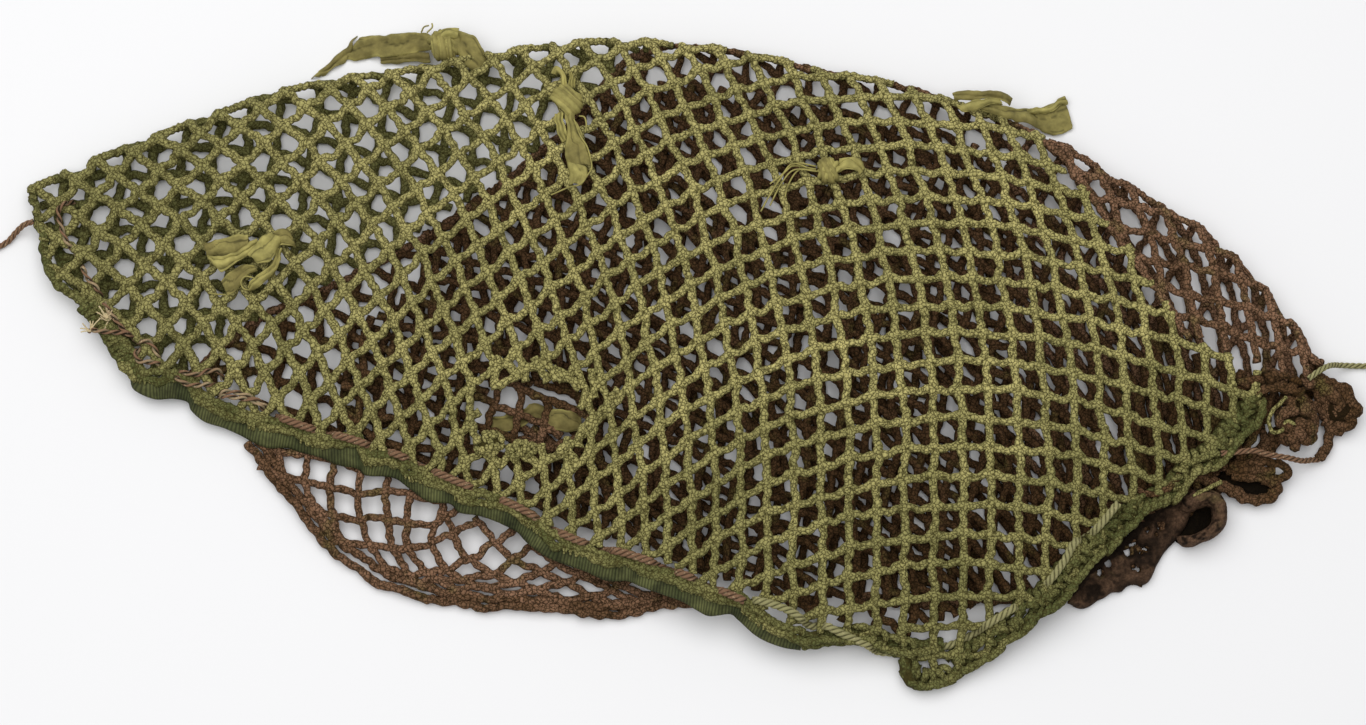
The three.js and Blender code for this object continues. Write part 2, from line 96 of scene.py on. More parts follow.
# Soft humps and hollows: x, y, half length, half width, turn in degrees and rise
UPPER_HUMPS = (
    (75, -5, 120, 70, -20, 9), (-160, 42, 70, 40, 20, 4), (-38, 8, 80, 9, -80, -3),
    (-20, 2, 80, 14, -80, 4), (84, -116, 50, 24, 0, -11), (165, -62, 70, 22, 40, -6),
)
LOWER_HUMPS = ((-88, -62, 65, 19, -17, 5),)

# Edges of the cut net in mesh counts across and down
LEFT_HEM = ((0, -0.2), (-1.2, 1.3), (-2.4, 2.9), (-2.5, 4.5), (-2.8, 6.2), (-3.4, 7.5))
LEFT_THICK = ((-2.5, 4.3), (-2.6, 5.2), (-2.8, 6.2), (-2.9, 7.2))  # thicker part of its crochet
LEFT_END = LEFT_THICK[-1]
TAPED_HEM = (
    (-2.6, 8.4), (-0.8, 12), (0.5, 13.6), (3.1, 16.5), (5.5, 19.5), (7.8, 22), (11.2, 25.5), (14.8, 28.4),
    (17.2, 30.6), (19.4, 32.4), (20.6, 33.1),
)
CORNER_HEM = ((22.8, 33.5), (24.2, 34.2), (24.4, 35.1), (25.1, 35.4), (27.2, 34.4), (28.9, 32.8))
RIGHT_HEM = ((30.3, 31), (32.5, 28.3), (33.9, 27.2), (36.2, 25.4), (37.2, 23.8), (38.5, 22.5))
SEAM_ABOVE = ((34.6, 21.7), (32.7, 18.2), (31.2, 14.9))
SEAM_ON_FOLD = (30, 28, 26, 24, 22, 20)
SEAM_BELOW = ((18.8, 9.1), (15.7, 3.4), (11, -2), (5.6, -7.6))
LOWER_LEFT_HEM = ((4.1, -6.2), (2.1, -4.2), (0.6, -1.6))
LOBE_HEM = ((8, -9.4), (9.5, -11.1), (12.2, -12.8), (15.3, -12.6), (17, -12.2), (19.6, -11), (22.4, -8.7))
HIDDEN_HEM = ((27.7, -5.2), (31, -3.1), (35.3, 1.7))
GATHERED_HEM = ((37.2, 5.9), (38.7, 12.2), (39.7, 15.6), (40.1, 18.5), (39.8, 20.8))
BROWN_TIP = (39.1, 22.2)

# Torn hole: middle and half sizes, and how far its rim is pushed aside
TEAR = np.array([-58.0, -24.0])
TEAR_HALF = np.array([18.5, 12.0])
TEAR_PUSH = 3.0

# The back edge swells outwards at the right: middle, half size and the way it goes
RIGHT_SWELL = np.array([200.0, 34.0, 38.0, 2.4, 2.8])

# Tape along the front hem: places along its outer edge, each with its place on the inner edge
TAPE_BAND = (
    (-207.8, 1.6, -207.1, 4.1), (-201.2, -5.7, -200.4, -3.5), (-200.6, -10, -198.6, -7.9),
    (-199.3, -13.5, -196.8, -10.4), (-192.4, -16.9, -192.6, -11.1), (-184.8, -16.9, -183.7, -11.1),
    (-180.1, -18, -178.7, -13.3), (-178.8, -20.9, -176.9, -16.6), (-174.2, -24.9, -172.7, -19.8),
    (-167, -27.4, -164.9, -24.2), (-160.6, -30.2, -159.9, -25.7), (-155.8, -32.8, -154.4, -27.4),
    (-151.2, -34.6, -150.5, -28.5), (-144.1, -34.6, -142.7, -29.6), (-139.9, -36.1, -139.2, -31.4),
    (-132.8, -38.2, -132.8, -34.3), (-125.7, -41.1, -125.7, -34.6), (-119.4, -42.2, -119.4, -34.3),
    (-116.2, -44.8, -115.5, -40.4), (-105.6, -46.2, -104.5, -41.9), (-101.1, -49.5, -101.1, -45.4),
    (-93.7, -54.6, -93.3, -48.5), (-85.9, -55.7, -85.5, -51.9), (-82.9, -58.6, -81.7, -54.4),
    (-75.1, -60.2, -74.6, -56.2), (-66.1, -63.8, -65.1, -59.1), (-62.2, -66, -60.5, -61.6),
    (-59.2, -69.3, -56.7, -64.6), (-52.5, -74.4, -50, -70.6), (-46.2, -77, -45.1, -72.2),
    (-37.7, -80.1, -36.7, -75.4), (-31, -83, -30, -78), (-24, -83, -23.7, -76.9),
    (-19.4, -85.1, -18.7, -80.8), (-11.3, -88.2, -10.6, -83.7), (-4.7, -90.5, -4, -85.5),
    (0.9, -93.8, 1.6, -87.7), (4.8, -95.6, 5.9, -90.2), (12.5, -94.9, 12.9, -91.3),
    (14.8, -96.7, 16.4, -92.8), (21.9, -102.8, 23.7, -99.2), (30.4, -106.2, 31.4, -102.8),
    (36.7, -107.1, 37.4, -104.6),
)

# Crocheted bands of the green hem: places along the outer edge, each with its place on the inner edge
CORNER_BAND = (
    (70.8, -110.2, 75.6, -108.5), (72.3, -117.3, 77, -111.6), (75.5, -120.8, 79, -113),
    (80.5, -121.5, 82, -113), (86.2, -120.8, 85.5, -110.8), (93.2, -116.8, 89.7, -107.4),
    (99.7, -113.6, 94.4, -105), (106.8, -109.5, 100.5, -100.6), (109, -106.2, 103.3, -97),
    (116.4, -102.4, 109.7, -93), (121.2, -96.8, 114, -88.8), (128.2, -93.3, 119.4, -86),
    (132, -89, 124.7, -79.8), (137.2, -81.9, 130.4, -74), (142.6, -76.2, 135.5, -70),
    (148.7, -72, 140.8, -65.8), (149.8, -68.7, 143.4, -63), (155.4, -64.8, 147, -59.7),
    (159, -59.8, 151.5, -56), (164.8, -56.6, 157, -52.9), (171.2, -54.9, 163.4, -50.5),
    (175.5, -48.8, 167.8, -45), (177.7, -46.3, 171.2, -40.5), (186.2, -43.5, 176.7, -36.8),
    (189.9, -39.1, 180.2, -34.4), (194.9, -32.8, 186.3, -27.3), (200.7, -27.4, 191.2, -21),
    (202.3, -20.2, 196.5, -18.3),
)
FRONT_BAND = (
    (36.5, -107, 37.5, -102.5), (47.2, -106, 47.2, -101), (55.3, -106.3, 53.6, -99.9),
    (60.7, -105.9, 59.3, -99.2), (64.2, -108, 64.2, -100.5), (67.8, -109, 67.8, -102),
    (71, -110.2, 73.2, -103.3), (80.2, -109.7, 80.2, -104.2), (87.4, -107.8, 87.4, -103.8),
)
# Rolled edge of the corner: x, y, z and the half sizes of the section
CORNER_ROLL = (
    (75.5, -107.5, 4.5, 2.2, 2.4), (74, -109.5, 4.5, 2.3, 2.5), (73.6, -112.7, 4.2, 2.3, 2.5),
    (74.8, -117, 4, 2.2, 2.4), (77.6, -120, 3.6, 1.8, 2),
)
# Holes in the bands: x, y and radius
BAND_HOLES = np.array((
    (80.7, -111.8, 1.9), (86.3, -112.5, 1.4), (88.4, -111.1, 1.2), (80.4, -102.2, 1.5), (96.8, -106.8, 1.7),
    (100.3, -105, 1.3), (104, -99, 1.9), (107.9, -97.9, 1.7), (110.4, -96.8, 1.5), (115.3, -91.1, 1.4),
    (89.3, -103.2, 1.7), (143.2, -75.7, 1.8), (144.9, -77.8, 1.8), (152.3, -71.4, 1.8),
))

# Felted band of the brown hem, as the green bands are given, and its worn holes: x, y and radius
FELT_BAND = (
    (131.5, -89.9, 131.5, -88), (134, -91.4, 133.2, -85.5), (136.4, -91.7, 135.2, -82.9),
    (138.9, -90.7, 136.8, -80.5), (141.4, -88.9, 138.1, -78.6), (143.9, -87.8, 139.8, -77),
    (146.4, -86.1, 141.4, -75.4), (149.9, -85.7, 144.6, -72.9), (151.7, -84, 146.2, -71.6),
    (153.9, -83.2, 147.9, -70.4), (156.7, -83.6, 150.4, -67.9), (159.5, -82.2, 152.6, -65.8),
    (161.3, -79.3, 154.8, -63.3), (162.5, -76.5, 156.6, -60.8), (163.6, -74.7, 158.4, -58.7),
    (165.1, -72.2, 160.6, -56.2), (166.9, -70.1, 162.7, -55.1), (169.1, -67.9, 164.9, -54.3),
    (171.2, -65.4, 166.6, -54), (173.5, -61.9, 168.4, -53.3), (175, -58.3, 170.6, -51.9),
    (176.1, -55.4, 173.1, -50.1),
)
FELT_HOLES = np.array((
    (152.5, -71.6, 1.3), (153.8, -69.6, 0.7), (154.7, -68.2, 0.6), (157.3, -71.2, 0.8), (158.6, -70.6, 0.6),
    (154.4, -77.2, 0.8), (155.9, -78.1, 0.7), (145.2, -76, 1), (142.6, -79.2, 1.1), (164, -63.3, 0.7),
    (164.5, -61.7, 0.7), (162.4, -65.4, 0.5), (159.3, -63.8, 0.8),
))
BROWN_PATCH = (
    (214.7, -18.5, 211.9, -10), (207.6, -16.3, 204, -8.7), (201.2, -17.4, 197, -11),
    (193.4, -20, 189.2, -15),
)
# Rolls of the brown hem at the right end: x, y, z and the half sizes of the section
ROLL_CURL = (
    (171.5, -57.5, 5, 3.2, 3.4), (175.3, -53.8, 5.6, 3.5, 5.2), (180.3, -53, 5.8, 3.2, 5.6),
    (183.8, -54.6, 5.8, 2.8, 5.8), (184.7, -57.8, 5.7, 2.7, 5.6), (184.2, -61.8, 5.6, 2.5, 5.5),
    (181.8, -64.9, 5.4, 2.2, 5.4), (178, -66.8, 5.2, 1.9, 5), (174.3, -68.2, 5, 2, 4.8),
    (171.6, -67.9, 4.6, 1.9, 4.2), (169.6, -66.4, 4, 1.8, 3.4),
)
# Painted shade: dark rolls laid inside the curl and behind the ruffle where only shade is, given in the same
# way
SHADE_ROLLS = (
    ((180.2, -52.5, 1.2, 4, 0.9), (178.8, -58, 1.2, 5, 0.9), (176, -63.5, 1.2, 4.6, 0.9),
     (172.6, -66.5, 1.2, 3, 0.9), (169.6, -67.6, 1.2, 2, 0.9)),
    ((184, -45.5, 2.6, 3, 2), (192, -47.2, 2.5, 4.2, 2), (200, -48, 2.2, 4.4, 1.8),
     (204, -46.5, 2.2, 3.4, 1.8)),
)
# Cords of the brown hem at the right end: width and places of x, y and z
RIGHT_CORDS = (
    (3.4, ((188.3, -41.4, 6.5), (196.3, -40.7, 7), (204.2, -40.5, 7), (208.5, -41.9, 6), (209, -44.9, 5),
           (204.2, -45.9, 5), (196.3, -45.5, 6), (189.3, -44.9, 6))),
    (3.2, ((187.3, -43.2, 6), (196.3, -43.1, 7.2), (204.7, -43.2, 6.6))),
    (4.2, ((176.4, -45.3, 7), (185, -48.1, 5.5), (190, -50.3, 4.5), (194.7, -52.8, 3.6), (200, -53.1, 3.4),
           (204.2, -51.3, 3.6), (205.2, -47.9, 4.4), (200.3, -46.2, 5))),
    (3.6, ((212.2, -17.5, 12), (216.7, -19.4, 9), (220.7, -20.4, 6), (224.3, -24.1, 4.4), (225, -29.2, 3.6),
           (223.4, -35, 3), (220.8, -38.3, 3))),
    (2.4, ((154.6, -50.8, 12), (158.9, -53, 13.4), (164.2, -51.7, 13.4), (167.8, -48.8, 13.6),
           (170.6, -44.6, 12))),
)
# Knob: cords fan out from its neck round its rim to its foot
KNOB_NECK = (216.9, -9.5, 8.5)
KNOB_FOOT = (222.9, -24.4, 3.5)
KNOB_RIM = (
    (227.6, -14, 7.5), (231.4, -16, 7.5), (234, -21, 6.5), (232.8, -26.2, 5), (229, -28.4, 3.5),
    (227.6, -19.5, 9),
)
KNOB_CORD = 4.4
KNOB_CORE = ((228, -20.2, 5), (6, 6.5, 4.5))
BALL = ((212.7, -26.2, 8.5), (5.6, 9.2, 4.5))  # middle and half sizes of the knotted ball
# Green yarn that hangs loose by the ball: places of x, y and z
LOOSE_GREEN = (
    ((208.6, -18.1, 13), (203.9, -22.5, 12), (202.2, -26.1, 11.5), (203.6, -30.3, 11.5), (206.9, -29.8, 12),
     (208.2, -26.9, 13), (211.3, -27.9, 13.5)),
    ((174.7, -53.1, 10), (178.7, -51.1, 11.2), (182.2, -49.3, 11), (185.2, -47.8, 10)),
)

# Strands of the lower layer that show in front of the tape: places along each one
LOBE_ACROSS = (
    ((-156, -32), (-148, -35.5), (-141, -36.5), (-134.5, -37.5), (-126.5, -39.5), (-121, -41.5),
     (-115, -43.5)),
    ((-154.5, -41), (-146.5, -44.5), (-139, -46.5), (-133, -48), (-128.5, -49), (-123, -50), (-118, -51.5),
     (-109, -50.5), (-101, -51), (-95.5, -53), (-89.5, -54)),
    ((-141, -51.5), (-135.5, -54.5), (-131, -57.5), (-127.5, -59), (-122.5, -60), (-119, -61),
     (-113, -59.5), (-108, -61), (-101, -61.5), (-96.5, -62.5), (-92, -62.5), (-89, -60.5), (-85.5, -58.5),
     (-83, -57)),
    ((-127.5, -68), (-119, -69), (-113, -69.5), (-107.5, -70.5), (-101.5, -70.5), (-95.5, -70),
     (-92, -68.5), (-88, -66.5), (-85.5, -66.5), (-83, -64), (-79.5, -62.5), (-76, -61)),
    ((-110.5, -76.5), (-105.5, -78.5), (-101, -80), (-96.5, -79.5), (-91, -78.5), (-87, -78.5),
     (-83.5, -76), (-79.5, -75), (-75.5, -73), (-72.5, -69.5), (-69.5, -68.5), (-66, -66), (-63, -63)),
    ((-98, -83), (-91, -81.5), (-84, -82), (-77, -80.5), (-70.5, -80), (-67, -77.5), (-64.5, -74.5),
     (-61.5, -73), (-58, -70)),
    ((-85.5, -85.5), (-77, -84), (-69.5, -84), (-62.5, -82.5), (-57, -80), (-52.5, -78.5), (-50, -76),
     (-47, -74)),
    ((-69.5, -87.5), (-59, -86), (-50.5, -84), (-44.5, -82.5), (-41, -80.5), (-38, -78.5)),
    ((-48, -89.5), (-39.5, -88), (-32, -86.5), (-27, -84), (-22.5, -81.5)),
    ((-34, -91), (-23, -89.5), (-16, -87.5), (-10.5, -85.5)),
)
LOBE_DOWN = (
    ((-147.5, -35.5), (-146.5, -41), (-145.5, -45), (-141.5, -49.5), (-139, -53)),
    ((-137, -36.5), (-137.5, -41.5), (-138, -46), (-137, -50), (-134.5, -55.5), (-130.5, -60.5),
     (-127.5, -64)),
    ((-127.5, -38), (-128, -43.5), (-129, -48), (-129, -53), (-127.5, -59), (-126.5, -64.5), (-124.5, -69)),
    ((-118, -41), (-118.5, -46), (-119, -51), (-119, -55.5), (-118, -59.5), (-116.5, -65), (-114.5, -69.5),
     (-111, -74.5), (-107, -78.5)),
    ((-108.5, -43.5), (-109, -49), (-109, -53.5), (-108.5, -58.5), (-108, -62), (-107.5, -66.5),
     (-106.5, -70.5), (-103.5, -75.5), (-100, -80), (-94.5, -84), (-87.5, -87)),
    ((-100, -49.5), (-101, -54.5), (-101.5, -59), (-101.5, -64.5), (-101.5, -68), (-100, -72), (-97.5, -76),
     (-94, -79.5), (-88.5, -83), (-82, -86), (-73, -88)),
    ((-89, -53), (-89.5, -58.5), (-91.5, -63), (-93, -68), (-91, -73), (-88, -77.5), (-83, -81),
     (-77, -83.5), (-69.5, -86), (-62.5, -88), (-53.5, -90)),
    ((-88, -58), (-86, -63.5), (-84, -68), (-82, -72.5), (-77.5, -76), (-73, -79), (-68, -81), (-62, -83),
     (-55.5, -85.5), (-48, -88), (-39.5, -91)),
    ((-78, -60), (-74, -64), (-70.5, -69), (-67.5, -72), (-64.5, -74.5), (-59.5, -76.5), (-53, -79.5),
     (-48, -81.5), (-43, -84), (-37, -87.5), (-29.5, -90)),
    ((-59, -69.5), (-53, -73), (-48, -76.5), (-43, -79), (-37.5, -81.5), (-31, -84.5), (-25, -87.5),
     (-17, -90)),
    ((-43, -76.5), (-37.5, -79.5), (-32, -81.5), (-25, -84), (-16, -87.5), (-8, -89.5)),
)
LOBE_CORDS = (
    ((-159, -32.5), (-153, -39.5), (-148.5, -46.5), (-142, -53.5), (-136.5, -61), (-130, -69),
     (-124, -74.5), (-117.5, -78.5), (-112.5, -82.5), (-105.5, -84.5), (-97.5, -87), (-89.5, -89),
     (-82, -89.5), (-75, -91.5), (-66, -91), (-55.5, -91), (-44.5, -92), (-34, -94), (-25, -93.5),
     (-16, -91.5), (-7, -90), (3, -90)),
    ((-154, -33), (-149, -39.5), (-145, -46), (-139, -52.5), (-133.5, -59.5), (-128, -66.5), (-121.5, -71),
     (-115.5, -74.5), (-109.5, -79), (-102.5, -81.5), (-94.5, -84), (-87, -86.5), (-78.5, -88),
     (-69.5, -88.5), (-59, -88.5), (-48, -89.5), (-37.5, -91), (-27, -91), (-17, -89), (-8, -87), (2, -87)),
)
LOBE_THIN = 0.88  # its strands are thinner than the others

# Routes of the cords
DRAWSTRING_BROWN = (
    (-209, 7), (-195, -3), (-177, -9), (-160, -18), (-141, -27), (-121, -33), (-104, -39), (-85, -48),
    (-62, -58), (-43, -69), (-22, -75), (-4, -82), (17, -91),
)
DRAWSTRING_GREEN = (
    (19.9, -90.4), (27.9, -92.5), (33.9, -95), (39.5, -98.6), (44.4, -99), (50.7, -101.8), (58.4, -105),
    (63.7, -107), (75, -107), (90, -104.5), (100.8, -99), (111, -92.9), (122.8, -84.3), (128.5, -77),
    (132.6, -70.3), (139, -66.5), (147.8, -56.7),
)
CORD_END_LEFT = (
    (-236.8, 47.3, 6.8), (-240.4, 46.7, 4.8), (-244, 44.2, 2.4), (-246.5, 41.5, 1.5), (-249.8, 39.4, 1.3),
    (-257, 36.2, 1.3), (-266, 33, 1.3), (-276, 30.5, 1.3),
)
CORD_END_RIGHT = (
    (216.5, -11.5, 13), (219.5, -9.2, 12.8), (223, -7, 11.9), (226, -5.6, 8.5), (229.5, -4.7, 4),
    (234, -4.4, 1.7), (240, -4.4, 1.3), (249, -3.9, 1.3), (258, -2.6, 1.3),
)
DRAWSTRING_LOOP = (
    (184.7, -38.4, 13.5), (190, -37.8, 13.2), (196.6, -37.2, 12.6), (201, -38.3, 12), (205, -39, 11.8),
    (209, -39.6, 11.2), (214, -40, 8), (218, -39, 4.2), (221.5, -38, 1.6), (224.3, -34.5, 1.3),
    (225.6, -30, 1.5), (225.7, -27.5, 2.2),
)


# Settings

def linear(colour):
    """Linear RGBA of an sRGB hex colour."""
    parts = [int(colour[i:i + 2], 16) / 255 for i in (1, 3, 5)]
    bright = [p / 12.92 if p <= 0.04045 else ((p + 0.055) / 1.055) ** 2.4 for p in parts]
    return (*bright, 1.0)


def hex_colour(name, description, default):
    """A colour property with an sRGB hex default."""
    return bpy.props.FloatVectorProperty(
        name=name, description=description, default=linear(default), size=4, min=0, max=1, subtype="COLOR")


def length(name, description, default):
    """A length property with a default in millimetres."""
    return bpy.props.FloatProperty(
        name=name, description=description, default=default * MILLIMETRE, min=0, unit="LENGTH",
        subtype="DISTANCE")


class HelmetNetSizes(bpy.types.PropertyGroup):
    """Sizes of the yarns, cords and cloth."""

    strand_width: length("Strand width", "Width of one crocheted strand of the netting", 3.1)
    strand_height: length("Strand height", "Thickness of one crocheted strand of the netting", 2.8)
    plait_lay: length("Stitch lay", "Length over which a strand's stitches swell once to each side", 4.8)
    hem_width: length("Hem width", "Width of one crocheted row of the hems", 4.4)
    drawstring: length("Drawstring", "Diameter of the cords threaded along the front hem", 3.0)
    cord_end: length("Cord end", "Diameter of the free cord ends", 2.2)
    cord_lay: length("Cord lay", "Length of one turn of a twisted cord", 7.0)
    tape_rib: length("Tape rib", "Spacing of the ribs across the hem tape", 1.1)
    strip_thickness: length("Strip thickness", "Thickness of the cloth strips", 0.4)


class HelmetNetColours(bpy.types.PropertyGroup):
    """Colours of the yarns and cloth."""

    green: hex_colour("Green yarn", "Faded olive of the green half", "#cabf7c")
    green_deep: hex_colour("Deep green", "Less faded olive of the hems and the left end", "#5b5f36")
    # Painted shade: the dark colour laid into the hollows between the green stitches and plies, and into the
    # grooves of the green cord.
    green_pit_shade: hex_colour("Green pits", "Hollows between the green stitches", "#403a1b")
    brown: hex_colour("Brown yarn", "Faded brown of the brown half", "#9a765d")
    brown_deep: hex_colour("Deep brown", "Less faded brown of the bunched hem", "#4a3419")
    # Painted shade: the dark colour laid into the hollows between the brown stitches and plies, and into the
    # grooves of the brown cord.
    brown_pit_shade: hex_colour("Brown pits", "Hollows between the brown stitches", "#271c0b")
    # Partly painted light: paler felt where it is rubbed, and laid by add_felt on the crests of the felt's
    # folds.
    felt: hex_colour("Worn felt", "Rubbed places on the felted brown hem", "#6c5340")
    felt_deep: hex_colour("Felt", "Felted brown hem", "#3d2d21")
    # Painted shade: the dark colour laid into the hollows of the felted hem.
    felt_pit_shade: hex_colour("Felt pits", "Hollows of the felted brown hem", "#211811")
    stain: hex_colour("Stain", "Olive dye that has run into the brown yarn", "#6e6838")
    tape: hex_colour("Tape", "Dark green of the hem tape", "#404527")
    # Painted light: the paler green painted on the bulges of the tape's gathers.
    tape_bulge_light: hex_colour("Tape crowns", "Rubbed ribs of the hem tape", "#5e6039")
    cord_brown: hex_colour("Brown cord", "Twisted brown cord", "#7a5c45")
    cord_green: hex_colour("Green cord", "Twisted green cord", "#8f8b60")
    cord_cream: hex_colour("Cream yarn", "Undyed yarn that shows at frayed ends", "#d4c399")
    strip: hex_colour("Cloth strip", "Olive of the cloth strips", "#6f653a")
    strip_light: hex_colour("Cloth edge", "Rubbed and frayed edges of the strips", "#a59c5c")
    floor: hex_colour("Table", "Plain pale table", "#ececed")


class HelmetNetStage(bpy.types.PropertyGroup):
    """Camera, light and table."""

    elevation: bpy.props.FloatProperty(
        name="Elevation", description="Angle of the camera above the table",
        default=math.radians(78), subtype="ANGLE", unit="ROTATION")
    distance: length("Distance", "From the camera to the net", 1300)
    frame_width: length("Frame width", "Width of the picture at the net", 487.7)
    aim_x: length("Aim across", "Where the camera looks, from left to right", -3.9)
    aim_y: length("Aim along", "Where the camera looks, from front to back", -1.4)
    sky: bpy.props.FloatProperty(name="Sky", description="Even light from all round", default=0.4, min=0)
    key: bpy.props.FloatProperty(
        name="Key light", description="Power of the soft light over the back of the table",
        default=27.0, min=0)


class HelmetNetSettings(bpy.types.PropertyGroup):
    """All settings of the helmet net."""

    sizes: bpy.props.PointerProperty(type=HelmetNetSizes)
    colours: bpy.props.PointerProperty(type=HelmetNetColours)
    stage: bpy.props.PointerProperty(type=HelmetNetStage)


def in_millimetres(value):
    return value / MILLIMETRE


# Lines and noise

NOISE_CELLS = 32  # cells each way before the noise repeats
PLACE_SHIFT = 300  # moves places on the table to the positive side
COUNT_SHIFT = 40  # and mesh counts
CURVE_POINTS = 24  # points of a smooth line between two given ones
YARN_STEP = 0.5  # spacing of points along cords and torn yarn
SOFT_STEP = 0.6  # and along hems and cloth
CORD_STEP = 0.45  # and along the free cords


def unit(vectors):
    return vectors / np.maximum(np.linalg.norm(vectors, axis=-1, keepdims=True), 1e-12)


def smoothstep(share):
    share = np.clip(share, 0, 1)
    return share * share * (3 - 2 * share)


def between(values, ends):
    """Smooth share of the way from one end to the other."""
    return smoothstep((values - ends[0]) / (ends[1] - ends[0]))


def soft_noise(places, size, seed):
    """Smooth noise from -1 to 1 over places, with random values on a lattice of that size."""
    places = np.asarray(places, float) / size
    lattice = np.random.default_rng(seed).uniform(-1, 1, (NOISE_CELLS,) * places.shape[-1])
    corner = np.floor(places).astype(int)
    share = smoothstep(places - corner)
    total = np.zeros(places.shape[:-1])
    for step in itertools.product((0, 1), repeat=places.shape[-1]):
        weight = np.prod(np.where(step, share, 1 - share), axis=-1)
        total += weight * lattice[tuple(np.moveaxis((corner + step) % NOISE_CELLS, -1, 0))]
    return total


def place_noise(places, size, seed):
    """Soft noise over places in millimetres."""
    return soft_noise(places + PLACE_SHIFT, size, seed)


def count_noise(counts, size, seed):
    """Soft noise over mesh counts."""
    return soft_noise(counts + COUNT_SHIFT, size, seed)


def waver(line, middle, reach, size, seed):
    """Values along a line that waver softly round a middle value."""
    return middle + reach * place_noise(line, size, seed)


def flat_ups(line):
    """Straight up, for each point of a line."""
    return np.tile((0.0, 0.0, 1.0), (len(line), 1))


def travel_along(line):
    """Distance of each point of a line from its start, along it."""
    return np.concatenate([[0], np.cumsum(np.linalg.norm(np.diff(line, axis=0), axis=1))])


def even(line, step):
    """The same line with points spaced evenly, about a step apart."""
    travel = travel_along(line)
    count = max(2, int(round(travel[-1] / step)))
    at = np.linspace(0, travel[-1], count + 1)
    return np.stack([np.interp(at, travel, column) for column in line.T], axis=1)


def smooth_line(points, step):
    """Centripetal Catmull-Rom line through points, with points a step apart."""
    p = np.asarray(points, float)
    p = np.vstack([2 * p[0] - p[1], p, 2 * p[-1] - p[-2]])
    fine = []
    for i in range(1, len(p) - 2):
        gaps = np.linalg.norm(np.diff(p[i - 1:i + 3], axis=0), axis=1) ** 0.5
        t = np.concatenate([[0], np.cumsum(gaps)])
        u = np.linspace(t[1], t[2], CURVE_POINTS, endpoint=False)[:, None]
        first = [
            ((t[k + 1] - u) * p[i - 1 + k] + (u - t[k]) * p[i + k]) / (t[k + 1] - t[k]) for k in range(3)]
        second = [
            ((t[k + 2] - u) * first[k] + (u - t[k]) * first[k + 1]) / (t[k + 2] - t[k]) for k in range(2)]
        fine.append(((t[2] - u) * second[0] + (u - t[1]) * second[1]) / (t[2] - t[1]))
    fine.append(p[-2:-1])
    return even(np.concatenate(fine), step)


def metres(points):
    """Places in the frame, in metres, of places on the table in millimetres."""
    return (np.asarray(points, float) - MIDDLE) * MILLIMETRE


# Form of the folded net

COUNT_STEP = 0.01  # small step for slopes, in meshes
MIDDLE_COUNT = 18.0  # near the middle of the net, both ways
NEWTON_STEPS = 12


def strand_path(table):
    """Path of a strand whose heading turns evenly from row to row: a chain of arcs."""
    rows = np.array(table, float)
    mesh, heading = rows[:, 0], np.radians(rows[:, 1])
    turn = np.diff(heading) / np.diff(mesh)

    def travel(i, along):
        bend = turn[i] * along
        chord = along * np.sinc(bend / FULL_TURN)
        middle = heading[i] + bend / 2
        return np.stack([chord * np.cos(middle), chord * np.sin(middle)], axis=-1)

    whole = travel(np.arange(len(turn)), np.diff(mesh))
    starts = np.vstack([np.zeros(2), np.cumsum(whole, axis=0)])

    def walk(count):
        i = np.clip(np.searchsorted(mesh, count) - 1, 0, len(turn) - 1)
        return starts[i] + travel(i, count - mesh[i])

    return lambda count: walk(np.asarray(count, float)) - walk(np.zeros(()))


across_path = strand_path(ACROSS)
down_path = strand_path(DOWN)
under_path = strand_path(UNDER)


def fold_at(across):
    """Count down of the back edge and radius of the fold, at a count across."""
    return tuple(np.interp(across, BACK_EDGE[:, 0], BACK_EDGE[:, column]) for column in (1, 2))


def crest_at(across):
    """Count down at which the fold's crest crosses a count across."""
    edge, radius = fold_at(across)
    return edge - radius * FOLD_SLACK / (MESH * FOLD_SLANT)


def hump_height(humps, plan):
    height = np.zeros(plan.shape[:-1])
    for x, y, half_length, half_width, turn, rise in humps:
        away = plan - (x, y)
        c, s = math.cos(math.radians(turn)), math.sin(math.radians(turn))
        along = away[..., 0] * c + away[..., 1] * s
        aside = away[..., 1] * c - away[..., 0] * s
        height += rise * np.exp(-(along / half_length) ** 2 - (aside / half_width) ** 2)
    return height


def net_point(across, down):
    """Place of a mesh count on the middle of the netting: upper layer, fold or lower layer."""
    across, down = np.broadcast_arrays(np.asarray(across, float), np.asarray(down, float))
    edge, radius = fold_at(across)
    quarter, slack = radius * math.pi / 2, radius * FOLD_SLACK
    from_crest = (down - edge) * MESH * FOLD_SLANT + slack
    upper = from_crest >= 0
    run = np.abs(from_crest)
    bend = np.minimum(run / radius, math.pi / 2)
    inward = np.where(run < quarter, radius * (1 - np.cos(bend)), run - slack)
    reach = inward / (MESH * FOLD_SLANT)
    above = down_path(edge + reach)
    below = down_path(edge) + under_path(edge) - under_path(edge - reach)
    plan = CORNER + MESH * STRETCH * (across_path(across) + np.where(upper[..., None], above, below))
    ease = smoothstep((run - quarter) / FOLD_EASE)
    hump = ease * np.where(upper, hump_height(UPPER_HUMPS, plan), hump_height(LOWER_HUMPS, plan))
    height = SHEET / 2 + radius * (1 + np.where(upper, 1, -1) * np.sin(bend)) + hump
    return np.concatenate([plan, height[..., None]], axis=-1)


def net_frame(counts):
    """Places of mesh counts, and the directions out of the folded net there."""
    across, down = np.asarray(counts, float).T
    step = COUNT_STEP
    along_across = net_point(across + step, down) - net_point(across - step, down)
    along_down = net_point(across, down + step) - net_point(across, down - step)
    return net_point(across, down), unit(np.cross(along_down, along_across))


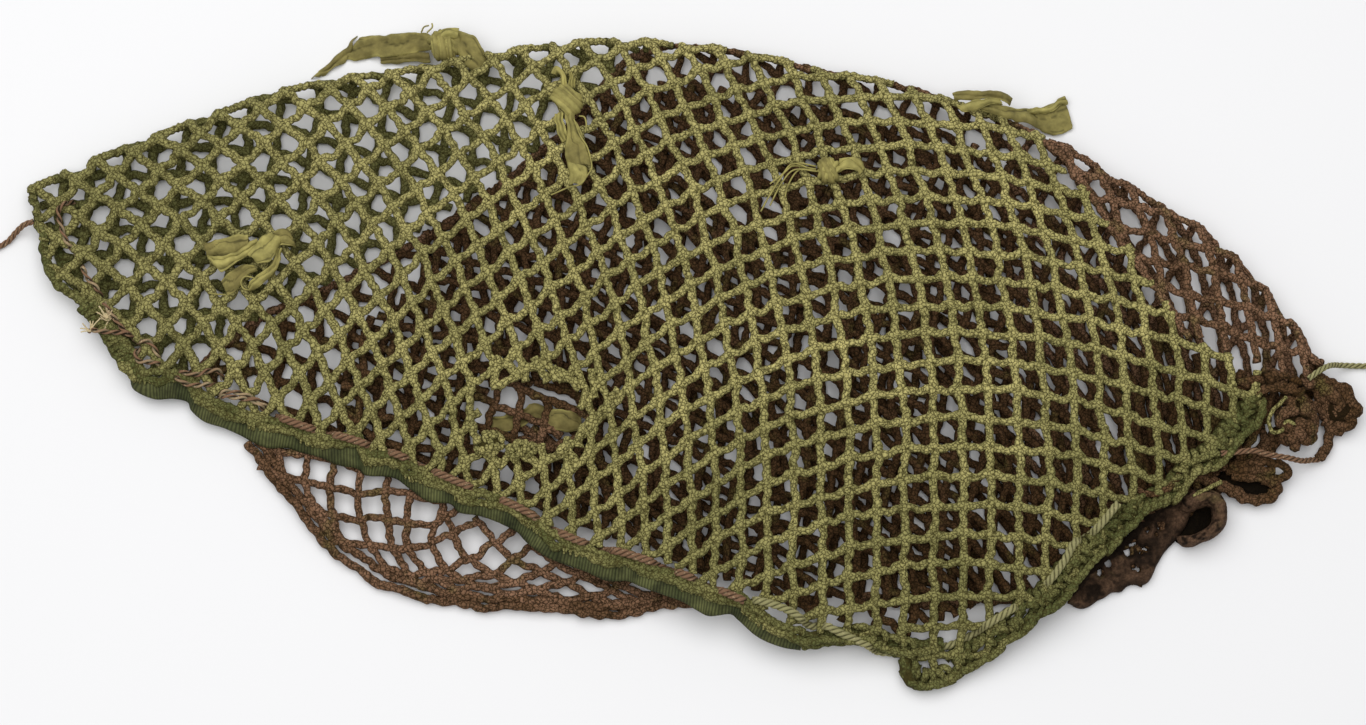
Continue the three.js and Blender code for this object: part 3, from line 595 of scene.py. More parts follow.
def meshes_at(plan):
    """Mesh counts of places on the upper layer, by Newton's steps."""
    plan = np.asarray(plan, float)
    counts = np.full(plan.shape, MIDDLE_COUNT)
    step = COUNT_STEP

    def upper_plan(at):
        return CORNER + MESH * STRETCH * (across_path(at[:, 0]) + down_path(at[:, 1]))

    for _ in range(NEWTON_STEPS):
        place = upper_plan(counts)
        u = (upper_plan(counts + (step, 0)) - place) / step
        v = (upper_plan(counts + (0, step)) - place) / step
        miss = plan - place
        turn = u[:, 0] * v[:, 1] - u[:, 1] * v[:, 0]
        counts = counts + np.stack([
            (miss[:, 0] * v[:, 1] - miss[:, 1] * v[:, 0]) / turn,
            (u[:, 0] * miss[:, 1] - u[:, 1] * miss[:, 0]) / turn,
        ], axis=1)
    return counts


def net_top(plan):
    """Height of the upper layer's upper side over places on the table."""
    counts = meshes_at(plan)
    return net_point(counts[:, 0], counts[:, 1])[:, 2] + SHEET / 2


# Joined meshes of yarn

class JoinedMesh:
    """Points, faces and point values of many small tubes and sheets, joined into one mesh."""

    def __init__(self):
        self.points, self.depths, self.tones = [], [], []
        self.faces, self.uvs = [], []
        self.size = 0

    def add_faces(self, faces, uvs):
        self.faces.append(faces)
        self.uvs.append(uvs.reshape(-1, 2))

    def add_grid(self, grid, along, depth, tone, wrap, keep=None):
        """Add rows of points. A wrapped grid is a tube, closed at both ends. An open one can have holes."""
        rows, columns = grid.shape[:2]
        index = self.size + np.arange(rows * columns).reshape(rows, columns)
        after = np.roll(index, -1, axis=1) if wrap else index[:, 1:]
        before = index if wrap else index[:, :-1]
        quads = np.stack([before[:-1], before[1:], after[1:], after[:-1]], axis=-1)
        u, v = np.meshgrid(along, np.arange(columns + wrap) / (columns - 1 + wrap), indexing="ij")
        uv = np.stack([u, v], axis=-1)
        corners = np.stack([uv[:-1, :-1], uv[1:, :-1], uv[1:, 1:], uv[:-1, 1:]], axis=2)
        if keep is not None:
            whole = keep[:-1, :-1] & keep[1:, :-1] & keep[1:, 1:] & keep[:-1, 1:]
            quads, corners = quads[whole], corners[whole]
        self.add_faces(quads.reshape(-1, 4), corners)
        if wrap:
            self.add_faces(np.stack([index[0], index[-1, ::-1]]), np.stack([uv[0, :-1], uv[-1, -2::-1]]))
        self.points.append(grid.reshape(-1, 3))
        # Depth is painted as shade by the materials: in yarn low values darken pits and hollows, in cloth
        # values past 1 darken creases.
        self.depths.append(np.broadcast_to(depth, (rows, columns)).ravel())
        self.tones.append(np.broadcast_to(tone, (rows, columns)).ravel())
        self.size += rows * columns

    def build(self, name, material):
        """Make the object, with its UV map and the values that its material reads."""
        mesh = bpy.data.meshes.new(name)
        totals = np.concatenate([np.full(len(faces), faces.shape[1]) for faces in self.faces])
        starts = np.concatenate([[0], np.cumsum(totals)[:-1]])
        indices = np.concatenate([faces.ravel() for faces in self.faces])
        used, corners = np.unique(indices, return_inverse=True)
        mesh.vertices.add(len(used))
        mesh.vertices.foreach_set("co", metres(np.concatenate(self.points)[used]).ravel())
        mesh.loops.add(int(totals.sum()))
        mesh.loops.foreach_set("vertex_index", corners)
        mesh.polygons.add(len(totals))
        mesh.polygons.foreach_set("loop_start", starts.astype(np.int32))
        uv_layer = mesh.uv_layers.new(name="along")
        uv_layer.data.foreach_set("uv", np.concatenate(self.uvs).ravel())
        for value, parts in (("depth", self.depths), ("tone", self.tones)):
            attribute = mesh.attributes.new(value, "FLOAT", "POINT")
            attribute.data.foreach_set("value", np.concatenate(parts)[used])
        mesh.update(calc_edges=True)
        mesh.validate()
        mesh.shade_smooth()
        piece = bpy.data.objects.new(name, mesh)
        bpy.context.scene.collection.objects.link(piece)
        piece.data.materials.append(material)
        return piece


def finish_piece(piece, slot, *nodes):
    """Let a piece ride on the net's body and stand for its CAD nodes, which are hidden. The slot is not used.
    """
    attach(piece, BODY)
    if nodes:
        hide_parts(*nodes)
    return piece


PLY_SIDES = 6  # of the tube of one ply
PLY_SHARE = {2: 0.25, 3: 0.245}  # radius of a ply over its cord's diameter, by the number of plies
Yarn = namedtuple("Yarn", "reach ply lay plies")


def twisted(diameter, lay, plies=3):
    """A round cord of twisted plies: the reach of their centres from its middle, and their radius."""
    ply = diameter * PLY_SHARE[plies]
    return Yarn(diameter / 2 - ply, ply, lay, plies)


def rings(side, up, angle):
    """Points all round, for each point of a line: offsets along its two cross directions."""
    return np.cos(angle)[None, :, None] * side[:, None, :] + np.sin(angle)[None, :, None] * up[:, None, :]


def tube_grid(line, ups, radius, sides):
    """Rings of points round a line."""
    ahead = unit(np.gradient(line, axis=0))
    side = unit(np.cross(ahead, ups))
    up = np.cross(side, ahead)
    angle = FULL_TURN * (np.arange(sides) / sides + 0.25)
    reach = np.broadcast_to(radius, len(line))[:, None, None]
    return line[:, None, :] + reach * rings(side, up, angle)


def add_yarn(joined, line, yarn, phase=0.0, pale=0.0):
    """Plies that turn round one another along a line. The last ply is paler by that share."""
    ups = flat_ups(line)
    along = travel_along(line)
    side = unit(np.cross(unit(np.gradient(line, axis=0)), ups))
    turn = FULL_TURN * along / yarn.lay + phase
    whole = yarn.reach + yarn.ply
    for ply in range(yarn.plies):
        angle = turn + FULL_TURN * ply / yarn.plies
        aside, rise = yarn.reach * np.cos(angle), yarn.reach * np.sin(angle)
        centre = line + side * aside[:, None] + ups * rise[:, None]
        grid = tube_grid(centre, ups, yarn.ply, PLY_SIDES)
        away = grid - line[:, None, :]
        out_side = (away * side[:, None, :]).sum(axis=-1) / whole
        out_up = (away * ups[:, None, :]).sum(axis=-1) / whole
        # Painted shade: points nearer the cord's middle, between the plies, get a lower depth and a darker
        # colour.
        joined.add_grid(
            grid, along, np.hypot(out_side, out_up), pale * (ply == yarn.plies - 1), wrap=True)


def add_tube(joined, line, ups, radius, sides, tone=0.5, depth=1.0):
    """One smooth round yarn along a line."""
    joined.add_grid(tube_grid(line, ups, radius, sides), travel_along(line), depth, tone, wrap=True)


# Netting

Part = namedtuple("Part", "width height lay sides thin")
RINGS = 16  # rings of a strand in one mesh
CHAIN = 0.14  # how far the stitches of a strand swell to each side in turn
LUMP = 0.2  # how far a strand is lumpy
STRAND_TURN = 2.4  # turn of the stitches from one strand to the next
PLEAT_SHIFT = np.array([0.5, 0.45])  # how far a pleat of the lower layer is slipped, in meshes
PLEAT_START = -115.0  # x at which the pleats begin, raggedly
PLEAT_REACH = np.array([0.0, -3.4])  # the pleats go this far past the lower layer's hem
PLEAT_FRONT = (-140.0, 0.5)  # the pleats stay behind this line: y at x 0, and slope
PLEAT_ROOM = 3.4  # least height between the middles of a pleat and of the upper layer
FLOOR_ROOM = 1.7  # and between a pleat's middle and the table
PLEAT_RISE = 4.5  # how far a pleat stands over the lower layer
UNDER_SHADE_TONE = 0.35  # painted shade: how much darker the lower layer is where the upper one covers it
SAG = 0.13  # sag of an across strand between two knots, in meshes
DRIFT = 0.09  # how far knots stray, in meshes
WOBBLE = 0.35  # how far strands waver between knots
GREEN_CUTS = (13.0, 22.0)  # counts across at which the upper layer is cut into pieces
LOBE_LINE = (-78.0, -0.385)  # the lower layer shows in front of this line: y at x 0, and slope
RIGHT_END = 112.0  # the lower layer is in full detail past this x
DEEP_ENDS = (-240.0, -40.0)  # the yarn goes from deep to faded green between these x
DEEP_FRONT = (-115.0, 5.0)  # and between these y
DEEP_RIGHT = (100.0, 170.0)  # and back to deeper green between these x
DEEP_RIGHT_FRONT = (10.0, -30.0)  # and these y
LEFT_TONE, FRONT_TONE, RIGHT_TONE = 0.5, 0.46, 0.35  # how faded it is there, and the loss at the right
TEAR_RAGGED = 0.16  # how ragged the rim of the torn hole is
BAND_TRIM = 2.8  # the outermost loops lie this far in from a band's edge
BAND_REACH = 12.0  # strands are cut off this near to the outer edge of a band
FELT_REACH = 8.0  # and to that of the felted band
FELT_CUT = 18  # along this many of its rows
EDGE_STEP = 2.0  # spacing of points along that edge
CUT_MARGIN = 0.6  # cut ends lie this far inside the edge
HOLE_MARGIN = 0.5  # and this far from a hole


def seam_line():
    on_fold = [(across, float(crest_at(across))) for across in SEAM_ON_FOLD]
    return np.array([*SEAM_ABOVE, *on_fold, *SEAM_BELOW])


def green_outline():
    taped = np.array(TAPED_HEM) + TAPE_WIDTH
    return np.vstack([LEFT_HEM, taped, CORNER_HEM, RIGHT_HEM, seam_line(), LOWER_LEFT_HEM])


def brown_outline(reach=0.0):
    hidden = np.array(HIDDEN_HEM) + reach
    return np.vstack([GATHERED_HEM, [BROWN_TIP], seam_line() + SEAM_SHIFT, LOBE_HEM, hidden])


def crossings(outline, axis, count):
    """Starts and ends of the stretches inside an outline on a line of constant count."""
    after = np.roll(outline, -1, axis=0)
    hit = (outline[:, axis] > count) != (after[:, axis] > count)
    p, q = outline[hit], after[hit]
    share = (count - p[:, axis]) / (q[:, axis] - p[:, axis])
    along = p[:, 1 - axis] + share * (q[:, 1 - axis] - p[:, 1 - axis])
    return np.sort(along).reshape(-1, 2)


def is_inside(outline, counts):
    """Whether mesh counts lie inside an outline, by the edges crossed on the way out."""
    after = np.roll(outline, -1, axis=0)
    inside = np.zeros(len(counts), bool)
    for (x0, y0), (x1, y1) in zip(outline, after):
        if y0 != y1:
            level = (counts[:, 1] > y0) != (counts[:, 1] > y1)
            inside ^= level & (counts[:, 0] < x0 + (counts[:, 1] - y0) * (x1 - x0) / (y1 - y0))
    return inside


def is_upper(counts):
    return counts[:, 1] >= crest_at(counts[:, 0])


def tear_distance(points):
    """Distance from the middle of the torn hole: below 1 inside its ragged rim."""
    away = (points[:, :2] - TEAR) / TEAR_HALF
    ragged = 1 + TEAR_RAGGED * soft_noise(points[:, :2], 7.0, 21)
    return np.linalg.norm(away, axis=1) / ragged


def wobble(points):
    """How far strands waver from their places."""
    return WOBBLE * np.stack([place_noise(points, 2.8, seed) for seed in (31, 32, 33)], axis=1)


def pushed_aside(points, upper):
    """Strands that waver, swell outwards at the right and are bunched up round the torn hole."""
    away = points[:, :2] - TEAR
    distance = np.linalg.norm(away / TEAR_HALF, axis=1)
    push = np.where(upper, TEAR_PUSH * np.exp(-((distance - 0.9) / 0.45) ** 2), 0)
    moved = points.copy()
    moved[:, :2] += unit(away) * push[:, None]
    moved += wobble(points)
    swell = np.exp(-(np.linalg.norm(points[:, :2] - RIGHT_SWELL[:2], axis=1) / RIGHT_SWELL[2]) ** 2)
    moved[:, :2] += swell[:, None] * RIGHT_SWELL[3:]
    return moved


def band_edges(band, step):
    """Places along the outer and the inner edge of a band."""
    rows = smooth_line(band, step)
    return rows[:, :2], rows[:, 2:]


def past_band(points, band, reach, trim):
    """Whether places near a band of hem lie outside it, or less than the trim inside its outer edge."""
    outer, inner = band_edges(band, EDGE_STEP)
    away = points[:, None, :2] - outer
    far = np.linalg.norm(away, axis=-1)
    nearest = far.argmin(axis=1)
    at = np.arange(len(points))
    inset = (away[at, nearest] * unit(inner - outer)[nearest]).sum(axis=1)
    return (far[at, nearest] < reach) & (inset < trim)


def hole_room(plan, holes):
    """Distance of places from the rim of the nearest hole."""
    away = np.linalg.norm(plan[..., None, :] - holes[:, :2], axis=-1)
    return (away - holes[:, 2]).min(axis=-1)


def worn_away(points):
    """Whether places lie in the holes of the felted hem or stick out past its edge."""
    in_hole = hole_room(points[:, :2], FELT_HOLES) < HOLE_MARGIN
    return in_hole | past_band(points, FELT_BAND[:FELT_CUT], FELT_REACH, CUT_MARGIN)


def green_zones(counts, points):
    upper = is_upper(counts)
    zones = np.where(upper, np.searchsorted(GREEN_CUTS, counts[:, 0]), len(GREEN_CUTS) + 1)
    cut_off = past_band(points, CORNER_BAND, BAND_REACH, BAND_TRIM + CUT_MARGIN)
    return np.where(upper & ((tear_distance(points) < 1) | cut_off), -1, zones)


def brown_zones(counts, points):
    shows = points[:, 1] < LOBE_LINE[0] + LOBE_LINE[1] * points[:, 0]
    at_end = points[:, 0] > RIGHT_END
    zones = np.where(at_end, 0, np.where(shows | (tear_distance(points) < 1.15), -1, 1))
    return np.where(worn_away(points), -1, zones)


def pleat_zones(counts, points):
    """The brown lower layer is pleated all the way under the green half."""
    above = meshes_at(points[:, :2])
    begun = points[:, 0] > PLEAT_START + 25 * place_noise(points[:, :2], 30.0, 12)
    covered = begun & is_inside(green_outline(), above) & ~is_upper(counts) & is_upper(above + (0, -2))
    covered = covered & (points[:, 1] > PLEAT_FRONT[0] + PLEAT_FRONT[1] * points[:, 0])
    return np.where(covered & (brown_zones(counts, points) >= 0), 1, -1)


def runs(zones):
    """Stretches of equal zones, each ending on the first sample of the next."""
    changes = np.flatnonzero(np.diff(zones)) + 1
    starts = np.concatenate([[0], changes])
    ends = np.concatenate([changes, [len(zones) - 1]])
    return [(int(zones[s]), s, e) for s, e in zip(starts, ends) if e > s]


def strand_counts(axis, count, start, end):
    """Mesh counts along one strand, with its sag and its strayed knots."""
    along = np.linspace(start, end, max(2, int(round((end - start) * RINGS))) + 1)
    counts = np.empty((len(along), 2))
    counts[:, axis] = count
    counts[:, 1 - axis] = along
    stray = np.stack([count_noise(counts, 1.0, seed) for seed in (3, 4)], axis=1)
    loose = 0.75 + 0.45 * count_noise(counts, 1.7, 5)
    if axis == 1:
        counts[:, 1] += SAG * loose * np.sin(math.pi * along) ** 2
    return counts + DRIFT * stray, along


def add_strand(joined, line, ups, part, tone, phase, swell):
    """A lumpy crocheted strand, with stitches that swell to each side in turn, and painted shade where its
    relief sinks.
    """
    along = travel_along(line)
    side = unit(np.cross(unit(np.gradient(line, axis=0)), ups))
    angle = FULL_TURN * np.arange(part.sides) / part.sides
    ring = (np.cos(angle)[None, :, None] * side[:, None, :] * part.width
            + np.sin(angle)[None, :, None] * ups[:, None, :] * part.height) / 2
    turn = FULL_TURN * along / part.lay + phase + 1.6 * place_noise(line, 4.0, 11)
    relief = CHAIN * (np.sin(turn)[:, None] * np.cos(angle) + np.sin(2 * turn)[:, None] * np.sin(angle))
    relief = relief + LUMP * place_noise(line[:, None, :] + ring, 1.7, 12)
    grid = line[:, None, :] + ring * (swell[:, None] * (1 + relief))[:, :, None]
    # Painted shade: where the relief sinks, the depth is lower and the material darker.
    joined.add_grid(grid, along, 0.78 + 0.9 * relief, tone[:, None], wrap=True)


def strand_looks(counts, along, points, covered):
    """Tone and swell along a strand: less faded at the left and the front, painted darker as shade where the
    upper layer covers it, and thicker at the knots.
    """
    faded = between(points[:, 0], DEEP_ENDS)
    front = between(points[:, 1], DEEP_FRONT)
    right = between(points[:, 0], DEEP_RIGHT)
    tone = np.where(covered, UNDER_SHADE_TONE, 1.0) * (LEFT_TONE + (1 - LEFT_TONE) * faded)
    tone = tone * (FRONT_TONE + (1 - FRONT_TONE) * front)
    tone = tone * (1 - RIGHT_TONE * right * between(points[:, 1], DEEP_RIGHT_FRONT))
    tone = tone * (0.87 + 0.13 * count_noise(counts, 3.0, 6))
    swell = 1.17 - 0.17 * faded + 0.1 * np.cos(FULL_TURN * along) + 0.06 * count_noise(counts, 0.6, 7)
    return tone, swell


def add_route(joined, line, part, tone, phase, swell):
    """A strand along a line over the table. Its tone and its swell are given as waver takes them."""
    add_strand(joined, line, flat_ups(line), part, waver(line, *tone), phase, waver(line, *swell))


def laid_strand(counts, pleated):
    """Counts and places of a strand, and the directions out of the net. Pleats lie between the layers."""
    if pleated:
        counts = counts + PLEAT_SHIFT * (1 + count_noise(counts, 2.5, 8))[:, None]
    points, ups = net_frame(counts)
    if pleated:
        points = points - ups * (PLEAT_RISE + 1.5 * count_noise(counts, 3.0, 9))[:, None]
    points = pushed_aside(points, is_upper(counts))
    if pleated:
        roof = net_top(points[:, :2]) - SHEET / 2 - PLEAT_ROOM
        points[:, 2] = np.clip(points[:, 2], FLOOR_ROOM, np.maximum(FLOOR_ROOM, roof))
    return counts, points, ups


def lay_netting(outline, zones_of, parts, pleated=False):
    """Strands both ways inside an outline, sorted into pieces: their meshes, extents and mesh sides."""
    meshes = [JoinedMesh() for _ in parts]
    extents = [[] for _ in parts]
    sides = [0.0 for _ in parts]
    for axis in (0, 1):
        first, last = math.ceil(outline[:, axis].min()), math.floor(outline[:, axis].max())
        for count in range(first, last + 1):
            for start, end in crossings(outline, axis, count):
                counts, along = strand_counts(axis, count, start, end)
                counts, points, ups = laid_strand(counts, pleated)
                zones = zones_of(counts, points)
                tone, swell = strand_looks(counts, along, points, zones == len(parts) - 1)
                for zone, s, e in runs(zones):
                    if zone < 0 or parts[zone] is None:
                        continue
                    keep = np.unique(np.append(np.arange(s, e + 1, parts[zone].thin), e))
                    add_strand(
                        meshes[zone], points[keep], ups[keep], parts[zone], tone[keep],
                        STRAND_TURN * count + axis, swell[keep])
                    extents[zone].append(counts[[s, e]])
                    sides[zone] += abs(along[e] - along[s])
    return meshes, [np.concatenate(extent) if extent else None for extent in extents], sides


# Materials

STITCH = 1.35  # size of one stitch of the yarn
STITCH_SHAKE = 0.0012  # how far the stitches are shaken out of line, in metres
FELT_SMOOTH = 0.65  # how far felt hides its stitches


def per_metre(size):
    """Scale of a pattern whose marks are that many millimetres across."""
    return 1 / (size * MILLIMETRE)


class Shading:
    """A new material, and the nodes that are added to it."""

    def __init__(self, name):
        self.material = bpy.data.materials.new(name)
        self.material.use_nodes = True
        self.tree = self.material.node_tree
        self.shader = self.tree.nodes["Principled BSDF"].inputs

    def add(self, kind, inputs, **settings):
        """Add a node with its settings, and fill its inputs with values or links. Gives its outputs."""
        made = self.tree.nodes.new("ShaderNode" + kind)
        for name, value in settings.items():
            setattr(made, name, value)
        for name, value in inputs.items():
            if isinstance(value, bpy.types.NodeSocket):
                self.tree.links.new(value, made.inputs[name])
            else:
                made.inputs[name].default_value = value
        return made.outputs

    def place(self):
        return self.add("TexCoord", {})["Object"]

    def value(self, name):
        """One of the values that a joined mesh holds for each point."""
        return self.add("Attribute", {}, attribute_name=name)["Fac"]

    def noise(self, size, detail, roughness=0.6):
        inputs = {"Scale": per_metre(size), "Detail": detail, "Roughness": roughness}
        return self.add("TexNoise", {"Vector": self.place(), **inputs})

    def spread(self, socket, low, high, to_low, to_high):
        inputs = {"Value": socket, "From Min": low, "From Max": high, "To Min": to_low, "To Max": to_high}
        return self.add("MapRange", inputs)["Result"]

    def mix(self, share, first, second, blend="MIX"):
        inputs = {"Fac": share, "Color1": first, "Color2": second}
        return self.add("MixRGB", inputs, blend_type=blend)["Color"]

    def maths(self, operation, first, second=0.0, clamp=False):
        return self.add("Math", {0: first, 1: second}, operation=operation, use_clamp=clamp)["Value"]

    def dull(self, roughness, shine):
        self.shader["Roughness"].default_value = roughness
        self.shader["Specular IOR Level"].default_value = shine

    def finish(self, colour, height, strength, depth):
        """Give the material its colour, and bumps of that depth in millimetres."""
        bump = self.add("Bump", {"Height": height, "Strength": strength, "Distance": depth * MILLIMETRE})
        self.tree.links.new(colour, self.shader["Base Color"])
        self.tree.links.new(bump["Normal"], self.shader["Normal"])
        return self.material


def plaited_cotton(name, faded, deep, pit, stain, stain_share, smooth=0.0):
    """Crocheted cotton yarn: soft and matt, with painted shade in the pits between its small stitches. Felt
    is smooth.
    """
    look = Shading(name)
    depth = look.value("depth")
    fibres = look.noise(1.1, 2.0)["Fac"]
    # The tone holds fading, and also painted shade where the upper layer covers a strand and painted light on
    # the felt's folds.
    toned = look.mix(look.value("tone"), deep, faded)
    patches = look.spread(look.noise(20, 4.0)["Fac"], 0.35, 0.7, 0.0, 0.45)
    stains = look.spread(look.noise(9, 2.0)["Fac"], 0.56, 0.72, 0.0, stain_share)
    stained = look.mix(stains, look.mix(patches, toned, deep), stain)
    shaken = look.mix(STITCH_SHAKE, look.place(), look.noise(1.2, 1.0)["Color"], "ADD")
    stitches = look.add(
        "TexVoronoi", {"Vector": shaken, "Scale": per_metre(STITCH)}, feature="DISTANCE_TO_EDGE")["Distance"]
    # Painted shade: the edges between the stitches take the pit colour.
    stitch_gap_shaded = look.mix(look.spread(stitches, 0.01, 0.15, smooth, 1.0), pit, stained)
    # Painted shade: low depth, in the hollows between plies and stitches, takes the pit colour.
    pitted = look.mix(look.spread(depth, 0.45, 0.75, 0.0, 1.0), pit, stitch_gap_shaded)
    # Painted shade: depth below 0.2 darkens the colour further, down to 0.22 of it, in deep hollows.
    hollow_shaded = look.mix(1.0, pitted, look.spread(depth, -1.0, 0.2, 0.22, 1.0), "MULTIPLY")
    mottle = look.spread(fibres, 0.3, 0.7, 0.75 - 0.25 * smooth, 1.15 + 0.2 * smooth)
    mottled = look.mix(1.0, hollow_shaded, mottle, "MULTIPLY")
    rise = look.maths("ADD", look.spread(stitches, 0.0, 0.3, 1.5 * smooth, 1.5), fibres)
    look.dull(0.92, 0.1)
    return look.finish(mottled, rise, 0.6, 0.35)


def twisted_cotton(name, crown, pit, fleck):
    """Twisted cotton cord: dull crowns on its plies, painted shade in its grooves and a few pale fibres."""
    look = Shading(name)
    fibres = look.noise(0.9, 2.0, 0.7)["Fac"]
    # Painted shade: the grooves between the plies take the pit colour.
    laid = look.mix(look.spread(look.value("depth"), 0.55, 0.9, 0.0, 1.0), pit, crown)
    pale = look.spread(fibres, 0.58, 0.75, 0.0, 0.5)
    flecked = look.mix(look.maths("ADD", pale, look.value("tone"), clamp=True), laid, fleck)
    look.dull(0.85, 0.25)
    return look.finish(flecked, fibres, 0.4, 0.3)


def ribbed_tape(settings):
    """Ribbed tape: dark green and stained, with painted light and shade: ribs lighter on their crowns and
    darker in their grooves, and paler where each gathered stretch begins and bulges.
    """
    colours = settings.colours
    look = Shading("ribbed tape")
    run = look.add("SeparateXYZ", {"Vector": look.add("UVMap", {}, uv_map="along")["UV"]})["X"]
    turn = look.maths("MULTIPLY", run, FULL_TURN / in_millimetres(settings.sizes.tape_rib))
    ribs = look.maths("SINE", turn)
    # Painted light: the tone makes the tape paler on the bulges of its gathers.
    gather_toned = look.mix(look.value("tone"), colours.tape, colours.tape_bulge_light)
    # Painted light and shade: the ribs are lighter on their crowns and darker in their grooves.
    rib_light_and_shade = look.spread(ribs, -1.0, 0.6, 0.5, 1.15)
    stains = look.spread(look.noise(5, 4.0, 0.65)["Fac"], 0.35, 0.62, 0.5, 1.15)
    ribbed = look.mix(1.0, gather_toned, look.maths("MULTIPLY", rib_light_and_shade, stains), "MULTIPLY")
    look.dull(0.8, 0.2)
    return look.finish(ribbed, ribs, 0.6, 0.15)


def strip_cotton(name, colours):
    """Thin olive cotton cloth: a fine weave, soft mottling, paler rubbed edges and painted shade in its
    creases.
    """
    look = Shading(name)
    depth = look.value("depth")
    mottle = look.spread(look.noise(4, 3.0)["Fac"], 0.3, 0.7, 0.62, 1.2)
    weave = look.noise(0.5, 1.0, 0.5)["Fac"]
    faded = look.mix(look.value("tone"), colours.strip, colours.strip_light)
    edged = look.mix(look.spread(depth, 0.0, 0.25, 0.8, 0.0), faded, colours.strip_light)
    # Painted shade: depth past 1 darkens the creases of the pleats, down to 0.42; the mottle is the cloth's
    # own.
    shade = look.maths("MULTIPLY", mottle, look.spread(depth, 1.0, 1.8, 1.0, 0.42))
    look.dull(0.85, 0.2)
    return look.finish(look.mix(1.0, edged, shade, "MULTIPLY"), weave, 0.35, 0.2)


def shared(name, make, *looks):
    """The material of that name, made when a piece first asks for it."""
    return bpy.data.materials.get(name) or make(name, *looks)


def green_yarn(colours):
    return shared(
        "green plaited cotton", plaited_cotton, colours.green, colours.green_deep, colours.green_pit_shade,
        colours.brown_deep, 0.06)


def brown_yarn(colours):
    return shared(
        "brown plaited cotton", plaited_cotton, colours.brown, colours.brown_deep, colours.brown_pit_shade,
        colours.stain, 0.55)


def brown_felt(colours):
    return shared(
        "brown felted cotton", plaited_cotton, colours.felt, colours.felt_deep, colours.felt_pit_shade,
        colours.stain, 0.3, FELT_SMOOTH)


def brown_cord(colours):
    return shared(
        "brown twisted cord", twisted_cotton, colours.cord_brown, colours.brown_pit_shade, colours.cord_cream)


def green_cord(colours):
    return shared(
        "green twisted cord", twisted_cotton, colours.cord_green, colours.green_pit_shade, colours.cord_cream)


def strip_cloth(colours):
    return shared("olive strip cloth", strip_cotton, colours)


# Pieces of netting and free cords

def build_netting(names, laid, material, slot, node, pleats=None):
    """Build the pieces of net. Pleats go with the last one."""
    for name, mesh, extent, sides in zip(names, *laid):
        piece = finish_piece(mesh.build(name, material), slot, node)
        if pleats and name == names[-1]:
            finish_piece(pleats.build(name + "_pleats", material), slot, node)


def strand_parts(sizes):
    """Strands in full detail, and the plainer ones that lie under the upper layer."""
    width, height = in_millimetres(sizes.strand_width), in_millimetres(sizes.strand_height)
    lay = in_millimetres(sizes.plait_lay)
    return Part(width, height, lay, 8, 1), Part(width, height, lay, 6, 2)


def make_green_netting(settings):
    full, plain = strand_parts(settings.sizes)
    names = ("net_green_left", "net_green_middle", "net_green_right", "net_green_under")
    laid = lay_netting(green_outline(), green_zones, [full, full, full, plain])
    build_netting(names, laid, green_yarn(settings.colours), "green_netting", "net_green")


def make_brown_netting(settings):
    full, plain = strand_parts(settings.sizes)
    material = brown_yarn(settings.colours)
    names = ("net_brown_right", "net_brown_under")
    laid = lay_netting(brown_outline(), brown_zones, [full, plain])
    pleats = lay_netting(brown_outline(PLEAT_REACH), pleat_zones, [None, plain], pleated=True)[0][1]
    build_netting(names, laid, material, "brown_netting", "net_brown", pleats)
    front = JoinedMesh()
    for number, route in enumerate((*LOBE_ACROSS, *LOBE_DOWN)):
        add_route(
            front, lobe_line(route), full, (0.75, 0.25, 12.0, 15), STRAND_TURN * number,
            (LOBE_THIN, 0.1, 5.0, 14))
    piece = finish_piece(front.build("net_brown_front", material), "brown_netting", "net_brown")


def lobe_line(route):
    """A strand of the lower layer in front of the tape, with its height over the table."""
    plan = smooth_line(route, MESH / RINGS)
    height = SHEET / 2 + hump_height(LOWER_HUMPS, plan)
    line = np.column_stack([plan, height])
    return line + wobble(line)


def make_free_cords(settings):
    sizes, colours = settings.sizes, settings.colours
    diameter, lay = in_millimetres(sizes.cord_end), in_millimetres(sizes.cord_lay)
    for name, route, slot, material, far_end in (
        ("cord_end_left", CORD_END_LEFT, "brown_cord", brown_cord(colours), "bare"),
        ("cord_end_right", CORD_END_RIGHT, "green_cord", green_cord(colours), "bare"),
        ("drawstring_loop", DRAWSTRING_LOOP, "brown_cord", brown_cord(colours), "object"),
    ):
        line = smooth_line(route, CORD_STEP)
        joined = JoinedMesh()
        add_yarn(joined, line, twisted(diameter, lay))
        piece = finish_piece(joined.build(name + "_yarn", material), slot, name)


# Hems

LOOP_ROW = 3.0  # spacing of the rows of loops across a band
LOOP_PITCH = 3.1  # spacing of the loops along a row
LOOP_LENGTH = 5.4
LOOP_RADIUS = 1.35
LOOP_RISE = 2.2
LOOP_BOW = 0.9  # how far a loop bows aside
LOOP_ROOM = 0.1  # least distance from a loop's middle to a hole
LOOP_GAPS = -0.7  # loops are left out where soft noise is lower
LOOP_WAY = 0.75  # turn of the loops to each side, row by row
EDGE_WAY = 1.57  # and of those along the edge
EDGE_ROW = 1.3  # how far in from the outermost loops they are
LOOP_POINTS = 9  # along one loop
BAND_FILL = (0.36, 0.68, 0.95)  # shares across a band at which cords fill it
FILL_SIZE = (3.6, 3.0)  # width and height of those cords
FILL_DROP = 1.2  # how far they lie below the loops
BAND_STEP, TAPE_STEP = 0.7, 0.8  # spacing of points along a band, and along the tape's inner edge
HEM_TURN = 1.9  # turn of the stitches from one row of crochet to the next
ROWS_APART = 37.0  # keeps the noise of two rows apart
STITCH_POINTS = 7  # along one stitch
SHORTEST = 3  # cut stretches with no more points than this are left out
FELT = 1.2  # thickness of the felted hem
FELT_LOW, FELT_RISE = 1.5, 3.2  # height of its edge, and how far it rises from there
FELT_COLUMNS = 40  # points across it
ROLL_END = 3.0  # run over which a roll grows to its full size
TABLE_ROOM = 0.3  # rolls lie at least this far over the table
